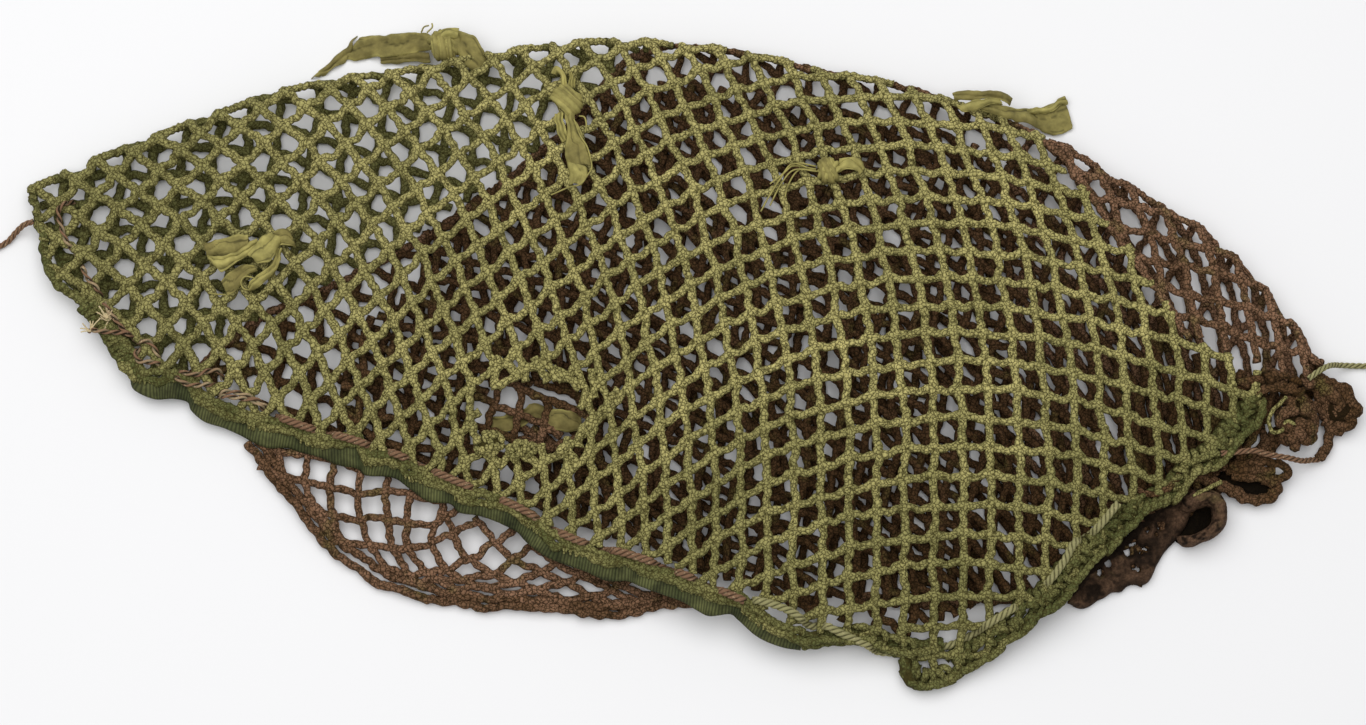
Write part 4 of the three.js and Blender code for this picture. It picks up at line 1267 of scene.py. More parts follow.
LUMP_TURN = 2.4  # turn from one loop of a knotted ball to the next
BALL_LOOPS, STUB_LOOPS = 22, 14
CORE_SHARE = 0.9  # size of a knot's core, as a share of the knot's


def inside_of(outline):
    """1 if the inside of an outline is on the left along it, seen from out of the net, and -1 if not."""
    after = np.roll(outline, -1, axis=0)
    return -np.sign((outline[:, 0] * after[:, 1] - after[:, 0] * outline[:, 1]).sum())


def hem_frame(counts, inside):
    """Places along a hem given in mesh counts, with the directions out of the net and in from the hem."""
    at = smooth_line(counts, SOFT_STEP / MESH)
    points, ups = net_frame(at)
    inward = inside * unit(np.cross(ups, np.gradient(points, axis=0)))
    return points, ups, inward


def tape_rows(step):
    """Places along both edges of the tape, and the height of the net at its inner edge."""
    outer, inner = band_edges(TAPE_BAND, step)
    return outer, inner, net_top(inner) - SHEET / 2


def tape_frame():
    """Places along the tape's inner edge, with the directions up and in from the hem."""
    outer, inner, height = tape_rows(TAPE_STEP)
    points = np.column_stack([inner, height])
    return points, flat_ups(points), np.column_stack([unit(inner - outer), np.zeros(len(inner))])


def add_crochet(joined, hem, rows, part, tone, seed, gone=None):
    """Rows of crochet side by side, wavering in and out along a hem, and cut where they are gone."""
    points, ups, inward = hem
    along = travel_along(points)
    for number, (inset, lift) in enumerate(rows):
        at = np.stack([along, np.full(len(along), ROWS_APART * number)], axis=1)
        aside = inset + 0.7 * soft_noise(at, 5.0, seed)
        rise = lift + 0.5 * soft_noise(at, 4.0, seed + 1)
        line = points + inward * aside[:, None] + ups * rise[:, None]
        shade = tone + 0.25 * soft_noise(at, 9.0, seed + 2)
        swell = 1 + 0.14 * soft_noise(at, 3.0, seed + 3)
        stretches = runs(gone(line)) if gone else [(False, 0, len(line))]
        for cut, s, e in stretches:
            if not cut and e - s > SHORTEST:
                add_strand(joined, line[s:e], ups[s:e], part, shade[s:e], HEM_TURN * number, swell[s:e])


def add_stitches(joined, hem, start, reach, pitch, radius, tone, seed, slant=1.5, rise=1.4):
    """Loops of yarn laid over a hem one after another, each bowed up between its ends."""
    points, ups, inward = hem
    along = travel_along(points)
    random = np.random.default_rng(seed)
    share = np.linspace(0, 1, STITCH_POINTS)[:, None]
    ahead = unit(np.gradient(points, axis=0))
    for at in np.arange(pitch, along[-1] - pitch, pitch):
        i = int(np.searchsorted(along, at + random.uniform(-0.3, 0.3) * pitch))
        run = reach[i] if np.ndim(reach) else reach
        run = run * random.uniform(0.85, 1.1)
        line = points[i] + inward[i] * (start + run * share)
        line = line + ahead[i] * (slant * random.uniform(0.4, 1.3) * share)
        line = line + ups[i] * (rise * np.sin(math.pi * (0.1 + 0.8 * share)) * random.uniform(0.8, 1.15))
        # Painted shade: each loop is darker towards its ends, where it dives into the hem.
        add_tube(
            joined, line, np.tile(ups[i], (len(line), 1)), radius * random.uniform(0.85, 1.1), 5,
            tone + random.uniform(-0.2, 0.2), 0.72 + 0.28 * np.sin(math.pi * share))


def add_band_fill(joined, outer, inner, ground, lay, seed, shade):
    """Cords that fill a band between its edges, cut where it has holes."""
    fill = Part(*FILL_SIZE, lay, 8, 1)
    for share in BAND_FILL:
        plan = outer + (inner - outer) * share
        line = np.column_stack([plan, ground - FILL_DROP])
        tone = waver(line, shade - 0.07, 0.15, 9.0, seed)
        swell = waver(line, 1, 0.2, 4.0, seed + 1)
        for open_here, s, e in runs(hole_room(plan, BAND_HOLES) < HOLE_MARGIN):
            if not open_here and e - s > SHORTEST:
                add_strand(joined, line[s:e], flat_ups(line[s:e]), fill, tone[s:e], 3 * share, swell[s:e])


def add_crochet_band(joined, band, lay, seed, shade, height=None, dim=0.0):
    """A dense crocheted band between two edges: thick loops bowed over cords that fill it."""
    outer, inner = band_edges(band, BAND_STEP)
    wide = np.linalg.norm(inner - outer, axis=1)
    ground = net_top((outer + inner) / 2) - SHEET / 2 if height is None else np.full(len(outer), height)
    add_band_fill(joined, outer, inner, ground, lay, seed, shade)
    random = np.random.default_rng(seed)
    bow = np.linspace(0, 1, LOOP_POINTS)[:, None]
    travel = travel_along((outer + inner) / 2)
    for row, start in enumerate(np.arange(0, wide.max(), LOOP_ROW)):
        for at in np.arange(1.0 + (row % 2), travel[-1] - 1, LOOP_PITCH):
            i = int(np.searchsorted(travel, at + random.uniform(-0.7, 0.7)))
            inset = max(BAND_TRIM, start + random.uniform(-0.4, 0.4))
            if inset > wide[i] - 0.5:
                continue
            across = (inner[i] - outer[i]) / wide[i]
            along = np.array([across[1], -across[0]])
            turn = (LOOP_WAY if row % 2 else -LOOP_WAY) + random.uniform(-0.6, 0.6)
            if inset < BAND_TRIM + EDGE_ROW:
                turn = EDGE_WAY + random.uniform(-0.35, 0.35)
            way = math.cos(turn) * across + math.sin(turn) * along
            side = np.array([way[1], -way[0]])
            middle = outer[i] + across * inset
            gap = inset > 3 and place_noise(np.append(middle, 0)[None], 5.0, seed + 3)[0] < LOOP_GAPS
            if gap or hole_room(middle, BAND_HOLES) < LOOP_ROOM:
                continue
            reach = random.uniform(0.85, 1.15) * LOOP_LENGTH
            plan = middle + way * reach * (bow - 0.5) + side * LOOP_BOW * np.sin(math.pi * bow)
            lift = LOOP_RISE * np.sin(math.pi * (0.12 + 0.76 * bow)) * random.uniform(0.7, 1.2) - 0.4
            line = np.concatenate([plan, ground[i] + lift], axis=1)
            tone = shade + 0.25 * place_noise(line[4:5], 12.0, seed + 2)[0] + random.uniform(-0.1, 0.1)
            thick = LOOP_RADIUS * random.uniform(0.85, 1.15) * (0.55 + 0.45 * np.sin(math.pi * bow[:, 0]))
            # Painted shade: each loop is darker towards its ends, where it dives between the others; dim
            # darkens a whole band.
            add_tube(joined, line, flat_ups(line), thick, 6, tone, 0.38 - dim + 0.55 * np.sin(math.pi * bow))


def add_left_hems(joined, width, lay):
    """Crochet along the left end: thicker towards the tape, and plain on the lower layer."""
    inside = inside_of(green_outline())
    narrow = Part(0.75 * width, 0.7 * width, lay, 7, 1)
    left = hem_frame((*LEFT_HEM[:-1], LEFT_END), inside)
    add_crochet(joined, left, ((0.8, 0.0),), narrow, 0.15, 51)
    add_stitches(joined, left, -0.2, 2.6, 2.6, 0.8, 0.25, 52)
    thick = hem_frame(LEFT_THICK, inside)
    add_crochet(joined, thick, ((-1.0, -0.4), (3.6, 0.5)), narrow, 0.1, 56)
    add_stitches(joined, thick, -2.0, 6.4, 2.2, 0.9, 0.15, 59)
    lower = hem_frame(LOWER_LEFT_HEM, inside)
    add_crochet(joined, lower, ((0.6, 0.0),), Part(width, 0.8 * width, 1.3 * lay, 8, 1), 0.1, 53)


def add_taped_hem(joined, width, lay):
    """Crochet along the inner edge of the tape, and the stitches that hold the tape."""
    taped = tape_frame()
    narrow = Part(0.75 * width, 0.7 * width, lay, 7, 1)
    add_crochet(joined, taped, ((0.4, 0.4), (2.8, 0.6)), narrow, 0.22, 57)
    reach = -1.4 - 1.8 * (1 - gather_share(taped[0][:, 0])) ** 2
    add_stitches(joined, taped, 1.0, reach, 1.4, 0.5, 0.45, 58, slant=0.8, rise=1.0)


def make_green_hems(settings):
    sizes = settings.sizes
    width, lay = in_millimetres(sizes.hem_width), in_millimetres(sizes.plait_lay)
    joined = JoinedMesh()
    add_left_hems(joined, width, lay)
    add_taped_hem(joined, width, lay)
    for seed, band in ((54, CORNER_BAND), (55, FRONT_BAND)):
        add_crochet_band(joined, band, lay, seed, 0.14)
    add_roll(joined, CORNER_ROLL, 0.08, 0.0, 0.58, 49)
    loose = Part(1.5, 1.4, lay, 6, 1)
    for number, route in enumerate(LOOSE_GREEN):
        line = smooth_line(route, SOFT_STEP)
        add_strand(joined, line, flat_ups(line), loose, np.full(len(line), 0.6), number, np.ones(len(line)))
    piece = joined.build("hem_green", green_yarn(settings.colours))
    finish_piece(piece, "green_netting", "net_green")


def add_roll(joined, rows, lump, tone, depth, seed, sides=24, size=2.2):
    """A felted roll of hem: rows of x, y, z and the half sizes of its section."""
    line = smooth_line(rows, SOFT_STEP)
    centre, half = line[:, :3], line[:, 3:]
    ahead = unit(np.gradient(centre, axis=0))
    side = unit(np.cross(ahead, (0, 0, 1)))
    up = np.cross(side, ahead)
    along = travel_along(centre)
    end = np.minimum(along, along[-1] - along)
    taper = np.sqrt(np.clip(end / ROLL_END, 0.02, 1))
    angle = FULL_TURN * np.arange(sides) / sides
    ring = rings(side * half[:, :1], up * half[:, 1:], angle) * taper[:, None, None]
    grid = centre[:, None, :] + ring
    lumps = place_noise(grid, size, seed) + 0.5 * place_noise(grid, size / 2, seed + 1)
    grid = grid + ring * (lump * lumps)[:, :, None]
    grid[..., 2] = np.maximum(grid[..., 2], TABLE_ROOM)
    # Painted light and shade: the roll is lighter on its lumps and darker in the dips between them.
    joined.add_grid(grid, along, depth + 0.4 * lumps, tone, wrap=True)


def add_felt(joined, band, seed):
    """A smooth felted band between two edges, rounded at its outer edge and worn through in places, with
    painted light and shade.
    """
    outer, inner = band_edges(band, YARN_STEP)
    share = np.linspace(0, 1, FELT_COLUMNS)[None, :, None]
    plan = outer[:, None] + (inner - outer)[:, None] * share
    room = hole_room(plan, FELT_HOLES)
    rounded = np.sqrt(1 - (1 - np.minimum(share[..., 0] / 0.25, 1)) ** 2)
    places = np.concatenate([plan, np.zeros_like(plan[..., :1])], axis=-1)
    folds = place_noise(places, 5.0, seed)
    grain = place_noise(places, 1.3, seed + 1)
    sunk = 1.6 * np.exp(-(room / 1.3) ** 2)
    height = FELT_LOW + (FELT_RISE + 1.3 * folds + 0.25 * grain) * rounded - sunk
    grid = np.concatenate([plan, np.maximum(height, FELT_LOW)[..., None]], axis=-1)
    # Painted light and shade: lighter on raised folds and grain, darker in their dips, and darker towards the
    # inner edge where the green net shades it.
    depth = 0.6 + 0.24 * folds + 0.2 * grain - 0.9 * smoothstep((share[..., 0] - 0.72) / 0.28)
    joined.add_grid(grid, travel_along(outer), depth, 0.3 + 0.3 * folds, wrap=False, keep=room > 0)


def add_core(joined, centre, half, tone):
    """The inside of a knot, coloured pit-dark as painted shade that shows between its loops."""
    lat = np.linspace(-1.5, 1.5, 9)[:, None]
    angle = FULL_TURN * np.arange(16) / 16
    ways = np.cos(lat) * np.cos(angle), np.cos(lat) * np.sin(angle), np.sin(lat)
    core = np.stack(np.broadcast_arrays(*ways), axis=-1)
    joined.add_grid(np.asarray(centre) + CORE_SHARE * core * half, lat[:, 0], 0.35, tone, wrap=True)


def add_lumps(joined, centre, half, count, tone, seed, thick, pit=0.2):
    """A knotted ball: short thick loops all over a core painted dark as shade."""
    random = np.random.default_rng(seed)
    bow = np.linspace(-1, 1, LOOP_POINTS)[:, None]
    for number in range(count):
        rise = 1 - 1.15 * (number + 0.5) / count
        angle = LUMP_TURN * number
        ring = math.sqrt(1 - rise ** 2)
        out = np.array([ring * math.cos(angle), ring * math.sin(angle), rise])
        way = unit(np.cross(out, random.normal(size=3)))
        arc = unit(out + 0.42 * bow * way + 0.1 * random.normal(size=3))
        line = np.asarray(centre) + arc * half * (0.9 + 0.14 * (1 - bow ** 2))
        # Painted shade: each loop is darker towards its ends, where it dives into the knot.
        add_tube(
            joined, line, unit(arc / half), thick * random.uniform(0.8, 1.15) * (1 - 0.4 * bow[:, 0] ** 2), 7,
            tone + random.uniform(-0.15, 0.2), pit + (0.9 - pit) * (1 - bow ** 2))
    add_core(joined, centre, half, tone)


def add_lobe_hem(joined, width, lay):
    """Two thick cords along the hem of the lower layer in front of the tape."""
    cord = Part(0.74 * width, 0.74 * width, 1.3 * lay, 9, 1)
    for number, route in enumerate(LOBE_CORDS):
        line = lobe_line(route)
        line[:, 2] += 0.8 * place_noise(line, 9.0, 16 + number)
        add_route(joined, line, cord, (0.55, 0.3, 10.0, 61), HEM_TURN * number, (1, 0.16, 6.0, 18))


def add_right_end(joined, lay):
    """Painted-shade rolls, loose cords, the knob and the knotted ball at the right end."""
    for seed, rows in enumerate(SHADE_ROLLS):
        # Painted shade: a depth of -1 makes these rolls nearly black.
        add_roll(joined, rows, 0.2, 0.0, -1.0, 70 + 2 * seed)
    cords = [*RIGHT_CORDS, *((KNOB_CORD, (KNOB_NECK, rim, KNOB_FOOT)) for rim in KNOB_RIM)]
    for number, (thick, route) in enumerate(cords):
        part = Part(thick, 0.9 * thick, lay, 8, 1)
        line = smooth_line(route, SOFT_STEP)
        add_route(joined, line, part, (0.3, 0.25, 6.0, 66), number, (1, 0.15, 3.0, 67))
    # Painted shade: the knob's pit-dark core fills the gaps between its cords.
    add_core(joined, *KNOB_CORE, 0.0)
    add_lumps(joined, *BALL, BALL_LOOPS, 0.38, 69, 2.3)


def make_brown_felt(colours):
    """The felted corner of the brown hem, and the curl at its end."""
    felt, curl = JoinedMesh(), JoinedMesh()
    add_felt(felt, FELT_BAND, 65)
    add_roll(curl, ROLL_CURL, 0.08, 0.8, 0.72, 66, 32, 1.6)
    corner = felt.build("hem_brown_felt", brown_felt(colours))
    thicken(corner, FELT)
    for piece in (corner, curl.build("hem_brown_curl", brown_felt(colours))):
        finish_piece(piece, "brown_netting", "net_brown")


def make_brown_hems(settings):
    sizes = settings.sizes
    width, lay = in_millimetres(sizes.hem_width), in_millimetres(sizes.plait_lay)
    part = Part(0.85 * width, 0.65 * width, 1.2 * lay, 8, 1)
    inside = inside_of(brown_outline())
    joined = JoinedMesh()
    add_lobe_hem(joined, width, lay)
    add_crochet(joined, hem_frame(HIDDEN_HEM, inside), ((0.5, 0.0),), part, 0.35, 62, worn_away)
    add_crochet(joined, hem_frame(GATHERED_HEM, inside), ((0.5, 0.0), (3.2, 0.2)), part, 0.2, 63, worn_away)
    seam = hem_frame(seam_line() + SEAM_SHIFT / 2, inside)
    add_crochet(joined, seam, ((0.0, 0.0),), Part(0.7 * width, 0.5 * width, lay, 7, 1), 0.8, 64)
    add_crochet_band(joined, BROWN_PATCH, lay, 67, 0.3, 11.0, 0.05)
    make_brown_felt(settings.colours)
    add_right_end(joined, lay)
    piece = joined.build("hem_brown", brown_yarn(settings.colours))
    finish_piece(piece, "brown_netting", "net_brown")


# Edge tape

TAPE_THICKNESS = 0.8
# Places of its gathers: x
TAPE_GATHERS = (-201, -179.4, -159, -139.6, -118, -102.5, -84.5, -61.8, -47, -27.5, -5, 14.6, 37)
TAPE_DROOP = 2.2  # how far its outer edge hangs below its inner edge
TAPE_LOW = 0.9  # least height of its upper side over the table
TAPE_SPAN = (-0.05, 1.15)  # from past its outer edge to under the crochet, as shares of its width
TAPE_COLUMNS = 8  # points across it


def gather_share(x):
    """Share of the way from one gather of the tape to the next."""
    return np.interp(x, TAPE_GATHERS, np.arange(len(TAPE_GATHERS))) % 1


def make_edge_tape(settings):
    rib = in_millimetres(settings.sizes.tape_rib)
    outer, inner, height = tape_rows(rib / 2)
    along = travel_along(inner)
    share = np.linspace(*TAPE_SPAN, TAPE_COLUMNS)
    gather = gather_share(inner[:, 0])
    bulge = np.sin(math.pi * gather) ** 0.6
    plan = outer[:, None, :] + (inner - outer)[:, None, :] * share[:, None]
    lift = (0.9 * bulge - 0.6)[:, None] - TAPE_DROOP * (1 - share) ** 2 + 0.3 * place_noise(plan, 5.0, 71)
    height = np.maximum(height[:, None] + lift, TAPE_LOW)
    grid = np.concatenate([plan, height[:, :, None]], axis=-1)
    joined = JoinedMesh()
    # Painted light and shade: paler on the bulges and where each stretch begins, darker towards each gather,
    # with some random tone.
    shade = np.clip(0.7 * bulge - 0.25 * gather + 0.4 * soft_noise(along[:, None], 5.0, 72), 0, 1)
    joined.add_grid(grid, along, np.ones(len(share)), shade[:, None], wrap=False)
    tape = joined.build("hem_tape_ribbed", ribbed_tape(settings))
    thicken(tape, TAPE_THICKNESS)
    finish_piece(tape, "green_tape", "hem_tape")


def thicken(piece, thickness):
    """Give a sheet its thickness, downwards."""
    bpy.ops.object.select_all(action="DESELECT")
    piece.select_set(True)
    bpy.context.view_layer.objects.active = piece
    solid = piece.modifiers.new("thickness", "SOLIDIFY")
    solid.thickness = thickness * MILLIMETRE
    solid.offset = -1
    bpy.ops.object.modifier_apply(modifier=solid.name)


# Drawstrings

# Stretches in which a drawstring lies over the net, by x
BROWN_OVER = (
    (-147, -134), (-128, -115), (-108, -101), (-92, -78), (-68.5, -55), (-48, -37.5), (-29.5, -14), (-7, 0),
    (8, 18),
)
GREEN_OVER = ((20, 38), (44.5, 62), (100, 112), (122, 134), (138.5, 149))
DOUBLED_TO = -149.0  # the brown drawstring is two thin cords up to this x
THIN_CORD, THIN_LAY = 2.0, 8.0  # their diameter, and the length of one turn
THIN_PALE = 0.3  # one of their plies is this much paler, now and then
HIDDEN_BELOW, SHOWN_RISE = 4.2, 5.4  # a drawstring lies this far below the net, and rises this far to show
THIN_BELOW, THIN_RISE = 3.4, 4.3  # the same for the thin cords
OVER_EASE = 4.0  # run over which a drawstring rises
# Stretches of the thin cords that lie over the net at the left
THIN_CORDS = (
    ((-222.8, 55.2), (-227.5, 51.4), (-226.3, 44.4), (-224, 38.8), (-221.3, 35.5)),
    ((-219, 31), (-217.8, 29), (-216.3, 25.7), (-213.1, 22.4), (-211.5, 19.5)),
    ((-211, 18.4), (-208.3, 13.9), (-205.4, 10.1), (-203, 7.1), (-200, 4.7)),
    ((-216, 7.4), (-212.5, 6.5), (-207.2, 5.9), (-201.2, 5.3), (-198.5, 3.5)),
    ((-198.2, 3), (-196.5, 2.6), (-193.5, 2.3), (-191.2, -0.8), (-190, -3.8)),
    ((-195.9, 1), (-198.3, -2), (-197.1, -4.4), (-191.2, -5), (-188.5, -6)),
    ((-184.7, -7.7), (-176.4, -9.3), (-172.2, -8), (-168.7, -8), (-167.5, -10.5)),
    ((-184.9, -8.5), (-182.9, -11), (-179.3, -12.9), (-172.8, -12.9), (-169.5, -12.2)),
    ((-170, -15.6), (-162.8, -15.6), (-155.7, -18), (-150.3, -21.6)),
    ((-169.5, -16.6), (-162.2, -17.6), (-155.7, -18.9), (-151.5, -22.5)),
)
# Frayed ends of the thin cords: middle of each tuft, and its number of fibres
TUFTS = ((-208, 10.2, 26), (-214.5, 6.4, 8))
TUFT_WAY = 2.1  # direction in which most of the fibres point
TUFT_FIBRE = 0.24  # half the thickness of a fibre
TUFT_REACH = (1.5, 4.2)  # shortest and longest fibre
TUFT_BEND = (1.2, 1.2, 0.3)


def add_tufts(joined):
    """Pale fibres that stick out of the frayed ends of the thin cords."""
    random = np.random.default_rng(74)
    share = np.linspace(0, 1, 8)[:, None]
    for x, y, count in TUFTS:
        base = np.array([x, y, float(net_top(np.array([(x, y)]))[0])])
        for _ in range(count):
            turn = TUFT_WAY + random.normal() * 0.7
            reach = random.uniform(*TUFT_REACH)
            way = np.array([math.cos(turn), math.sin(turn), random.uniform(0.1, 0.7)])
            bend = random.normal(size=3) * TUFT_BEND
            line = base + way * reach * share + bend * share ** 2
            add_tube(joined, line, flat_ups(line), TUFT_FIBRE, 4, random.uniform(0.6, 1.0))


def add_thin_cords(joined):
    """Thin cords that come up through the net and go down again."""
    thin = twisted(THIN_CORD, THIN_LAY, plies=2)
    for number, route in enumerate(THIN_CORDS):
        plan = smooth_line(route, YARN_STEP)
        share = np.linspace(0, 1, len(plan))
        shown = smoothstep(share / 0.16) * smoothstep((1 - share) / 0.16)
        line = np.column_stack([plan, net_top(plan) - THIN_BELOW + THIN_RISE * shown])
        pale = THIN_PALE * smoothstep(0.5 + place_noise(line, 9.0, 73))[:, None]
        add_yarn(joined, line, thin, phase=1.7 * number, pale=pale)


def make_drawstrings(settings):
    sizes, colours = settings.sizes, settings.colours
    cord = twisted(in_millimetres(sizes.drawstring), in_millimetres(sizes.cord_lay))
    for name, route, over, slot, material in (
        ("drawstring_brown", DRAWSTRING_BROWN, BROWN_OVER, "brown_cord", brown_cord(colours)),
        ("drawstring_green", DRAWSTRING_GREEN, GREEN_OVER, "green_cord", green_cord(colours)),
    ):
        plan = smooth_line(route, YARN_STEP)
        if name == "drawstring_brown":
            plan = plan[plan[:, 0] > DOUBLED_TO]
        x = plan[:, 0]
        shown = sum(
            smoothstep((x - s + OVER_EASE / 2) / OVER_EASE) * smoothstep((e + OVER_EASE / 2 - x) / OVER_EASE)
            for s, e in over)
        height = net_top(plan) - HIDDEN_BELOW + SHOWN_RISE * np.clip(shown, 0, 1)
        line = np.column_stack([plan, height])
        joined = JoinedMesh()
        add_yarn(joined, line, cord)
        if name == "drawstring_brown":
            add_thin_cords(joined)
            add_tufts(joined)
        finish_piece(joined.build(name + "_yarn", material), slot, name)


# Cloth strips

STRIPS = 6
# Ribbons are rows of a left edge, a right edge and a height; wads are a middle, half sizes, a turn and bands;
# frays are lines of places. Heights are over the net or, for strips in ON_TABLE, over the table.
ON_TABLE = (1, 4, 6)
RIBBONS = (
    (1, 0.3, ((-139, 102.4, -136.2, 102.8, 0.6), (-131.1, 109.8, -131.8, 105.7, 0.8),
              (-122.4, 118, -127.1, 108.9, 1))),
    (1, 0.35, ((-127.1, 108.9, -122.4, 118, 1.2), (-114.1, 110, -112.2, 118.5, 2.0),
               (-98.1, 111.2, -99.2, 118.6, 4.5), (-94.5, 111, -95, 116.5, 7.5))),
    (1, 0.2, ((-114, 110.2, -113.5, 108.4, 0.8), (-104, 110.8, -103, 107.8, 2),
              (-96.7, 111.3, -95.5, 107.8, 4))),
    (1, 0.35, ((-88, 113, -85.8, 118.1, 9.5), (-85.8, 109.2, -80, 115.9, 9.5),
               (-83.3, 105.4, -77.1, 111.3, 9.2), (-80.7, 103.2, -73.9, 106.1, 8.6),
               (-77, 102.2, -74.2, 104.1, 8.2))),
    (1, 0.9, ((-94.5, 116.5, -93.5, 113, 10.5), (-90, 117.6, -89.5, 114, 12), (-85, 117.6, -86, 114.5, 11))),
    (2, 0.8, ((-51.3, 100, -49.8, 99.6, 1.0), (-49.8, 101.8, -49.1, 100.6, 2.0),
              (-47.3, 100.7, -48, 99.6, 2.2), (-46.4, 97.4, -47.8, 97, 1.6), (-45.8, 94, -47.7, 93.7, 1.2))),
    (2, 0.7, ((-45.1, 100.3, -44, 100, 1.2), (-44.8, 97.4, -43.3, 97, 1.8), (-45.9, 93.7, -43, 94, 1.4))),
    (2, 0.7, ((-49.8, 84.4, -47.3, 84.8, 1.8), (-49.6, 80.8, -46.6, 80.8, 1.6),
              (-48.7, 77.1, -46, 77.4, 1.2), (-47.3, 73.7, -45.7, 74.5, 0.8))),
    (2, 0.4, ((-46.6, 85.2, -43.3, 84.5, 1.8), (-45.9, 80, -41.9, 79.3, 1.0),
              (-46.2, 73.7, -39.5, 73.7, 0.9), (-46.6, 68.9, -37.5, 68.6, 0.9),
              (-45.9, 65.2, -36.8, 64.5, 0.9))),
    (2, 1.0, ((-45.9, 66, -38.6, 64.5, 1.5), (-45.1, 62.3, -37.9, 61.2, 1.6), (-45, 58.6, -40.8, 57.7, 0.8))),
    (3, 0.8, ((51, 66.5, 51, 62, 1.2), (55, 67.5, 55, 63, 2.0), (59, 66.6, 58.2, 62.6, 1.6),
              (60.6, 63.5, 58.6, 61, 0.6))),
    (4, 0.3, ((92.1, 92.4, 92.8, 90.6, 13.5), (97.5, 93.4, 98.6, 90.8, 14),
              (106.5, 93.9, 106.5, 90.9, 13.5), (112, 93, 111.2, 90.1, 12),
              (114.1, 91.8, 112.7, 89.3, 10.5))),
    (4, 0.7, ((93.9, 88.4, 96.4, 85.5, 14), (99.3, 89.7, 101.8, 86.3, 15.5),
              (104.7, 90.6, 107.2, 88.2, 15.5), (109.5, 90.4, 110.5, 88.8, 13))),
    (4, 0.4, ((102.2, 88.3, 102.2, 86.4, 13.5), (106.5, 89.2, 107.2, 85.2, 13),
              (112.3, 88.9, 113, 84.1, 11), (118.1, 89.1, 119.5, 84, 7.5), (123.8, 90.5, 124.6, 82.9, 2.2),
              (128.5, 92.2, 130.3, 80.9, 1.2), (133.8, 94.7, 136.5, 83.4, 0.6))),
    (4, 0.9, ((119.5, 89, 119.5, 87.8, 5.6), (127.8, 91.4, 127.8, 89.2, 2.6), (134, 94.9, 134.5, 92.9, 1.6))),
    (5, 0.35, ((-175, 37.3, -173.2, 32.9, 0.8), (-168.2, 38.4, -167.8, 32.5, 1.2),
               (-162.1, 39.8, -162.5, 32.9, 1.4), (-158.5, 39.8, -158.5, 35.4, 1.6))),
    (5, 1.0, ((-173.2, 32.5, -172.8, 31.4, 1.0), (-170, 32.1, -167.8, 27, 1.8),
              (-164.3, 32.9, -161.7, 30.7, 2.4), (-159.2, 36.3, -158.3, 32.9, 3),
              (-154.9, 38.2, -154.6, 36.2, 3))),
    (5, 0.95, ((-158.5, 32.5, -154.6, 29.8, 2.6), (-156, 35.4, -150.3, 30.3, 4),
               (-153.5, 38.4, -148.1, 34.7, 4), (-151.4, 40.6, -147.1, 38, 2.6))),
    (5, 0.3, ((-149.2, 40.9, -148.5, 35.4, 2), (-144.9, 41.3, -144.2, 36.2, 2),
              (-142.4, 38.4, -141.7, 36.2, 0.6))),
    (5, 0.3, ((-156.4, 29.2, -154.9, 27, 1.2), (-161, 29.6, -159.2, 25.2, 1.5),
              (-165, 27, -161.4, 21.5, 1.2), (-168.5, 23.7, -165.7, 19, 0.6))),
    (5, 0.85, ((-148.5, 34.7, -146, 34.7, 2.4), (-149.9, 30, -147.4, 29.2, 2.2),
               (-153.5, 26.3, -150.6, 24.8, 2), (-157.1, 23.7, -154.9, 21.5, 1.6),
               (-158.5, 21.5, -158.2, 20.1, 0.8))),
    (6, 0.05, ((-73.5, -23, -73.5, -29.5, 3), (-68, -22.5, -67, -29, 3.2), (-62, -20.5, -61, -26.5, 3.4),
               (-56.5, -18.5, -56, -24.5, 3.6), (-51.8, -21, -52, -28, 5.6), (-46, -22, -45.5, -29, 7.5),
               (-40, -24, -40, -29, 6.5))),
)
WADS = (
    (1, (-90.5, 112.6, 8), (5.6, 4.8, 4), 0.8, 8),
    (2, (-45.8, 89.4, 1.2), (5.2, 5.2, 3), 0.5, 7),
    (3, (47.5, 62.6, 1.4), (4.4, 4.4, 3), 0.2, 5),
)
FRAYS = (
    (1, ((-99.2, 118.4, 5), (-98.2, 120.2, 6), (-96.4, 120.8, 6))),
    (1, ((-97, 117.8, 7), (-95, 119.6, 8), (-95.2, 121, 8))),
    (1, ((-92, 109.5, 9), (-89, 107.4, 9.5), (-87.6, 105.6, 9))),
    (2, ((-43.3, 82.3, 1.4), (-40.8, 75.6, 1.4), (-38.6, 71.9, 1.4), (-37.2, 67.1, 1.4), (-36.8, 63.4, 1.6),
         (-38.3, 60.8, 1.8), (-40.8, 57.9, 1.4), (-45, 57.2, 1), (-51.3, 54.5, 0.8))),
    (2, ((-41.5, 83.5, 1.2), (-39.6, 83, 1.4), (-38.8, 80, 1.2), (-39.2, 77.2, 0.8))),
    (3, ((43, 63, 1.8), (34, 64, 1.2), (28.5, 57, 1.0), (23.2, 47.3, 0.8))),
    (3, ((43.5, 62, 2.2), (35, 62.6, 1.8), (30.5, 57.5, 1.2), (26.5, 49.5, 0.8))),
    (3, ((43, 64, 2.0), (36, 65.2, 1.4), (31, 61, 1.8), (26.5, 57.5, 1.2))),
    (3, ((43, 62.5, 1.6), (37, 62.8, 1.4), (33, 57, 1.4), (31.8, 52.5, 1.0))),
    (3, ((40, 63.5, 2.0), (34.5, 65, 1.8), (30, 59, 1.6), (24.5, 50, 1.0))),
    (5, ((-156.4, 24.6, 1.8), (-159.6, 25, 2.2), (-161, 23, 2), (-160.2, 21, 1.6), (-158.4, 20.4, 1.2))),
    (5, ((-172.8, 19.7, 0.8), (-170, 19.2, 1), (-166.4, 19, 0.8))),
)
FRAY_YARN = 0.3  # half its thickness


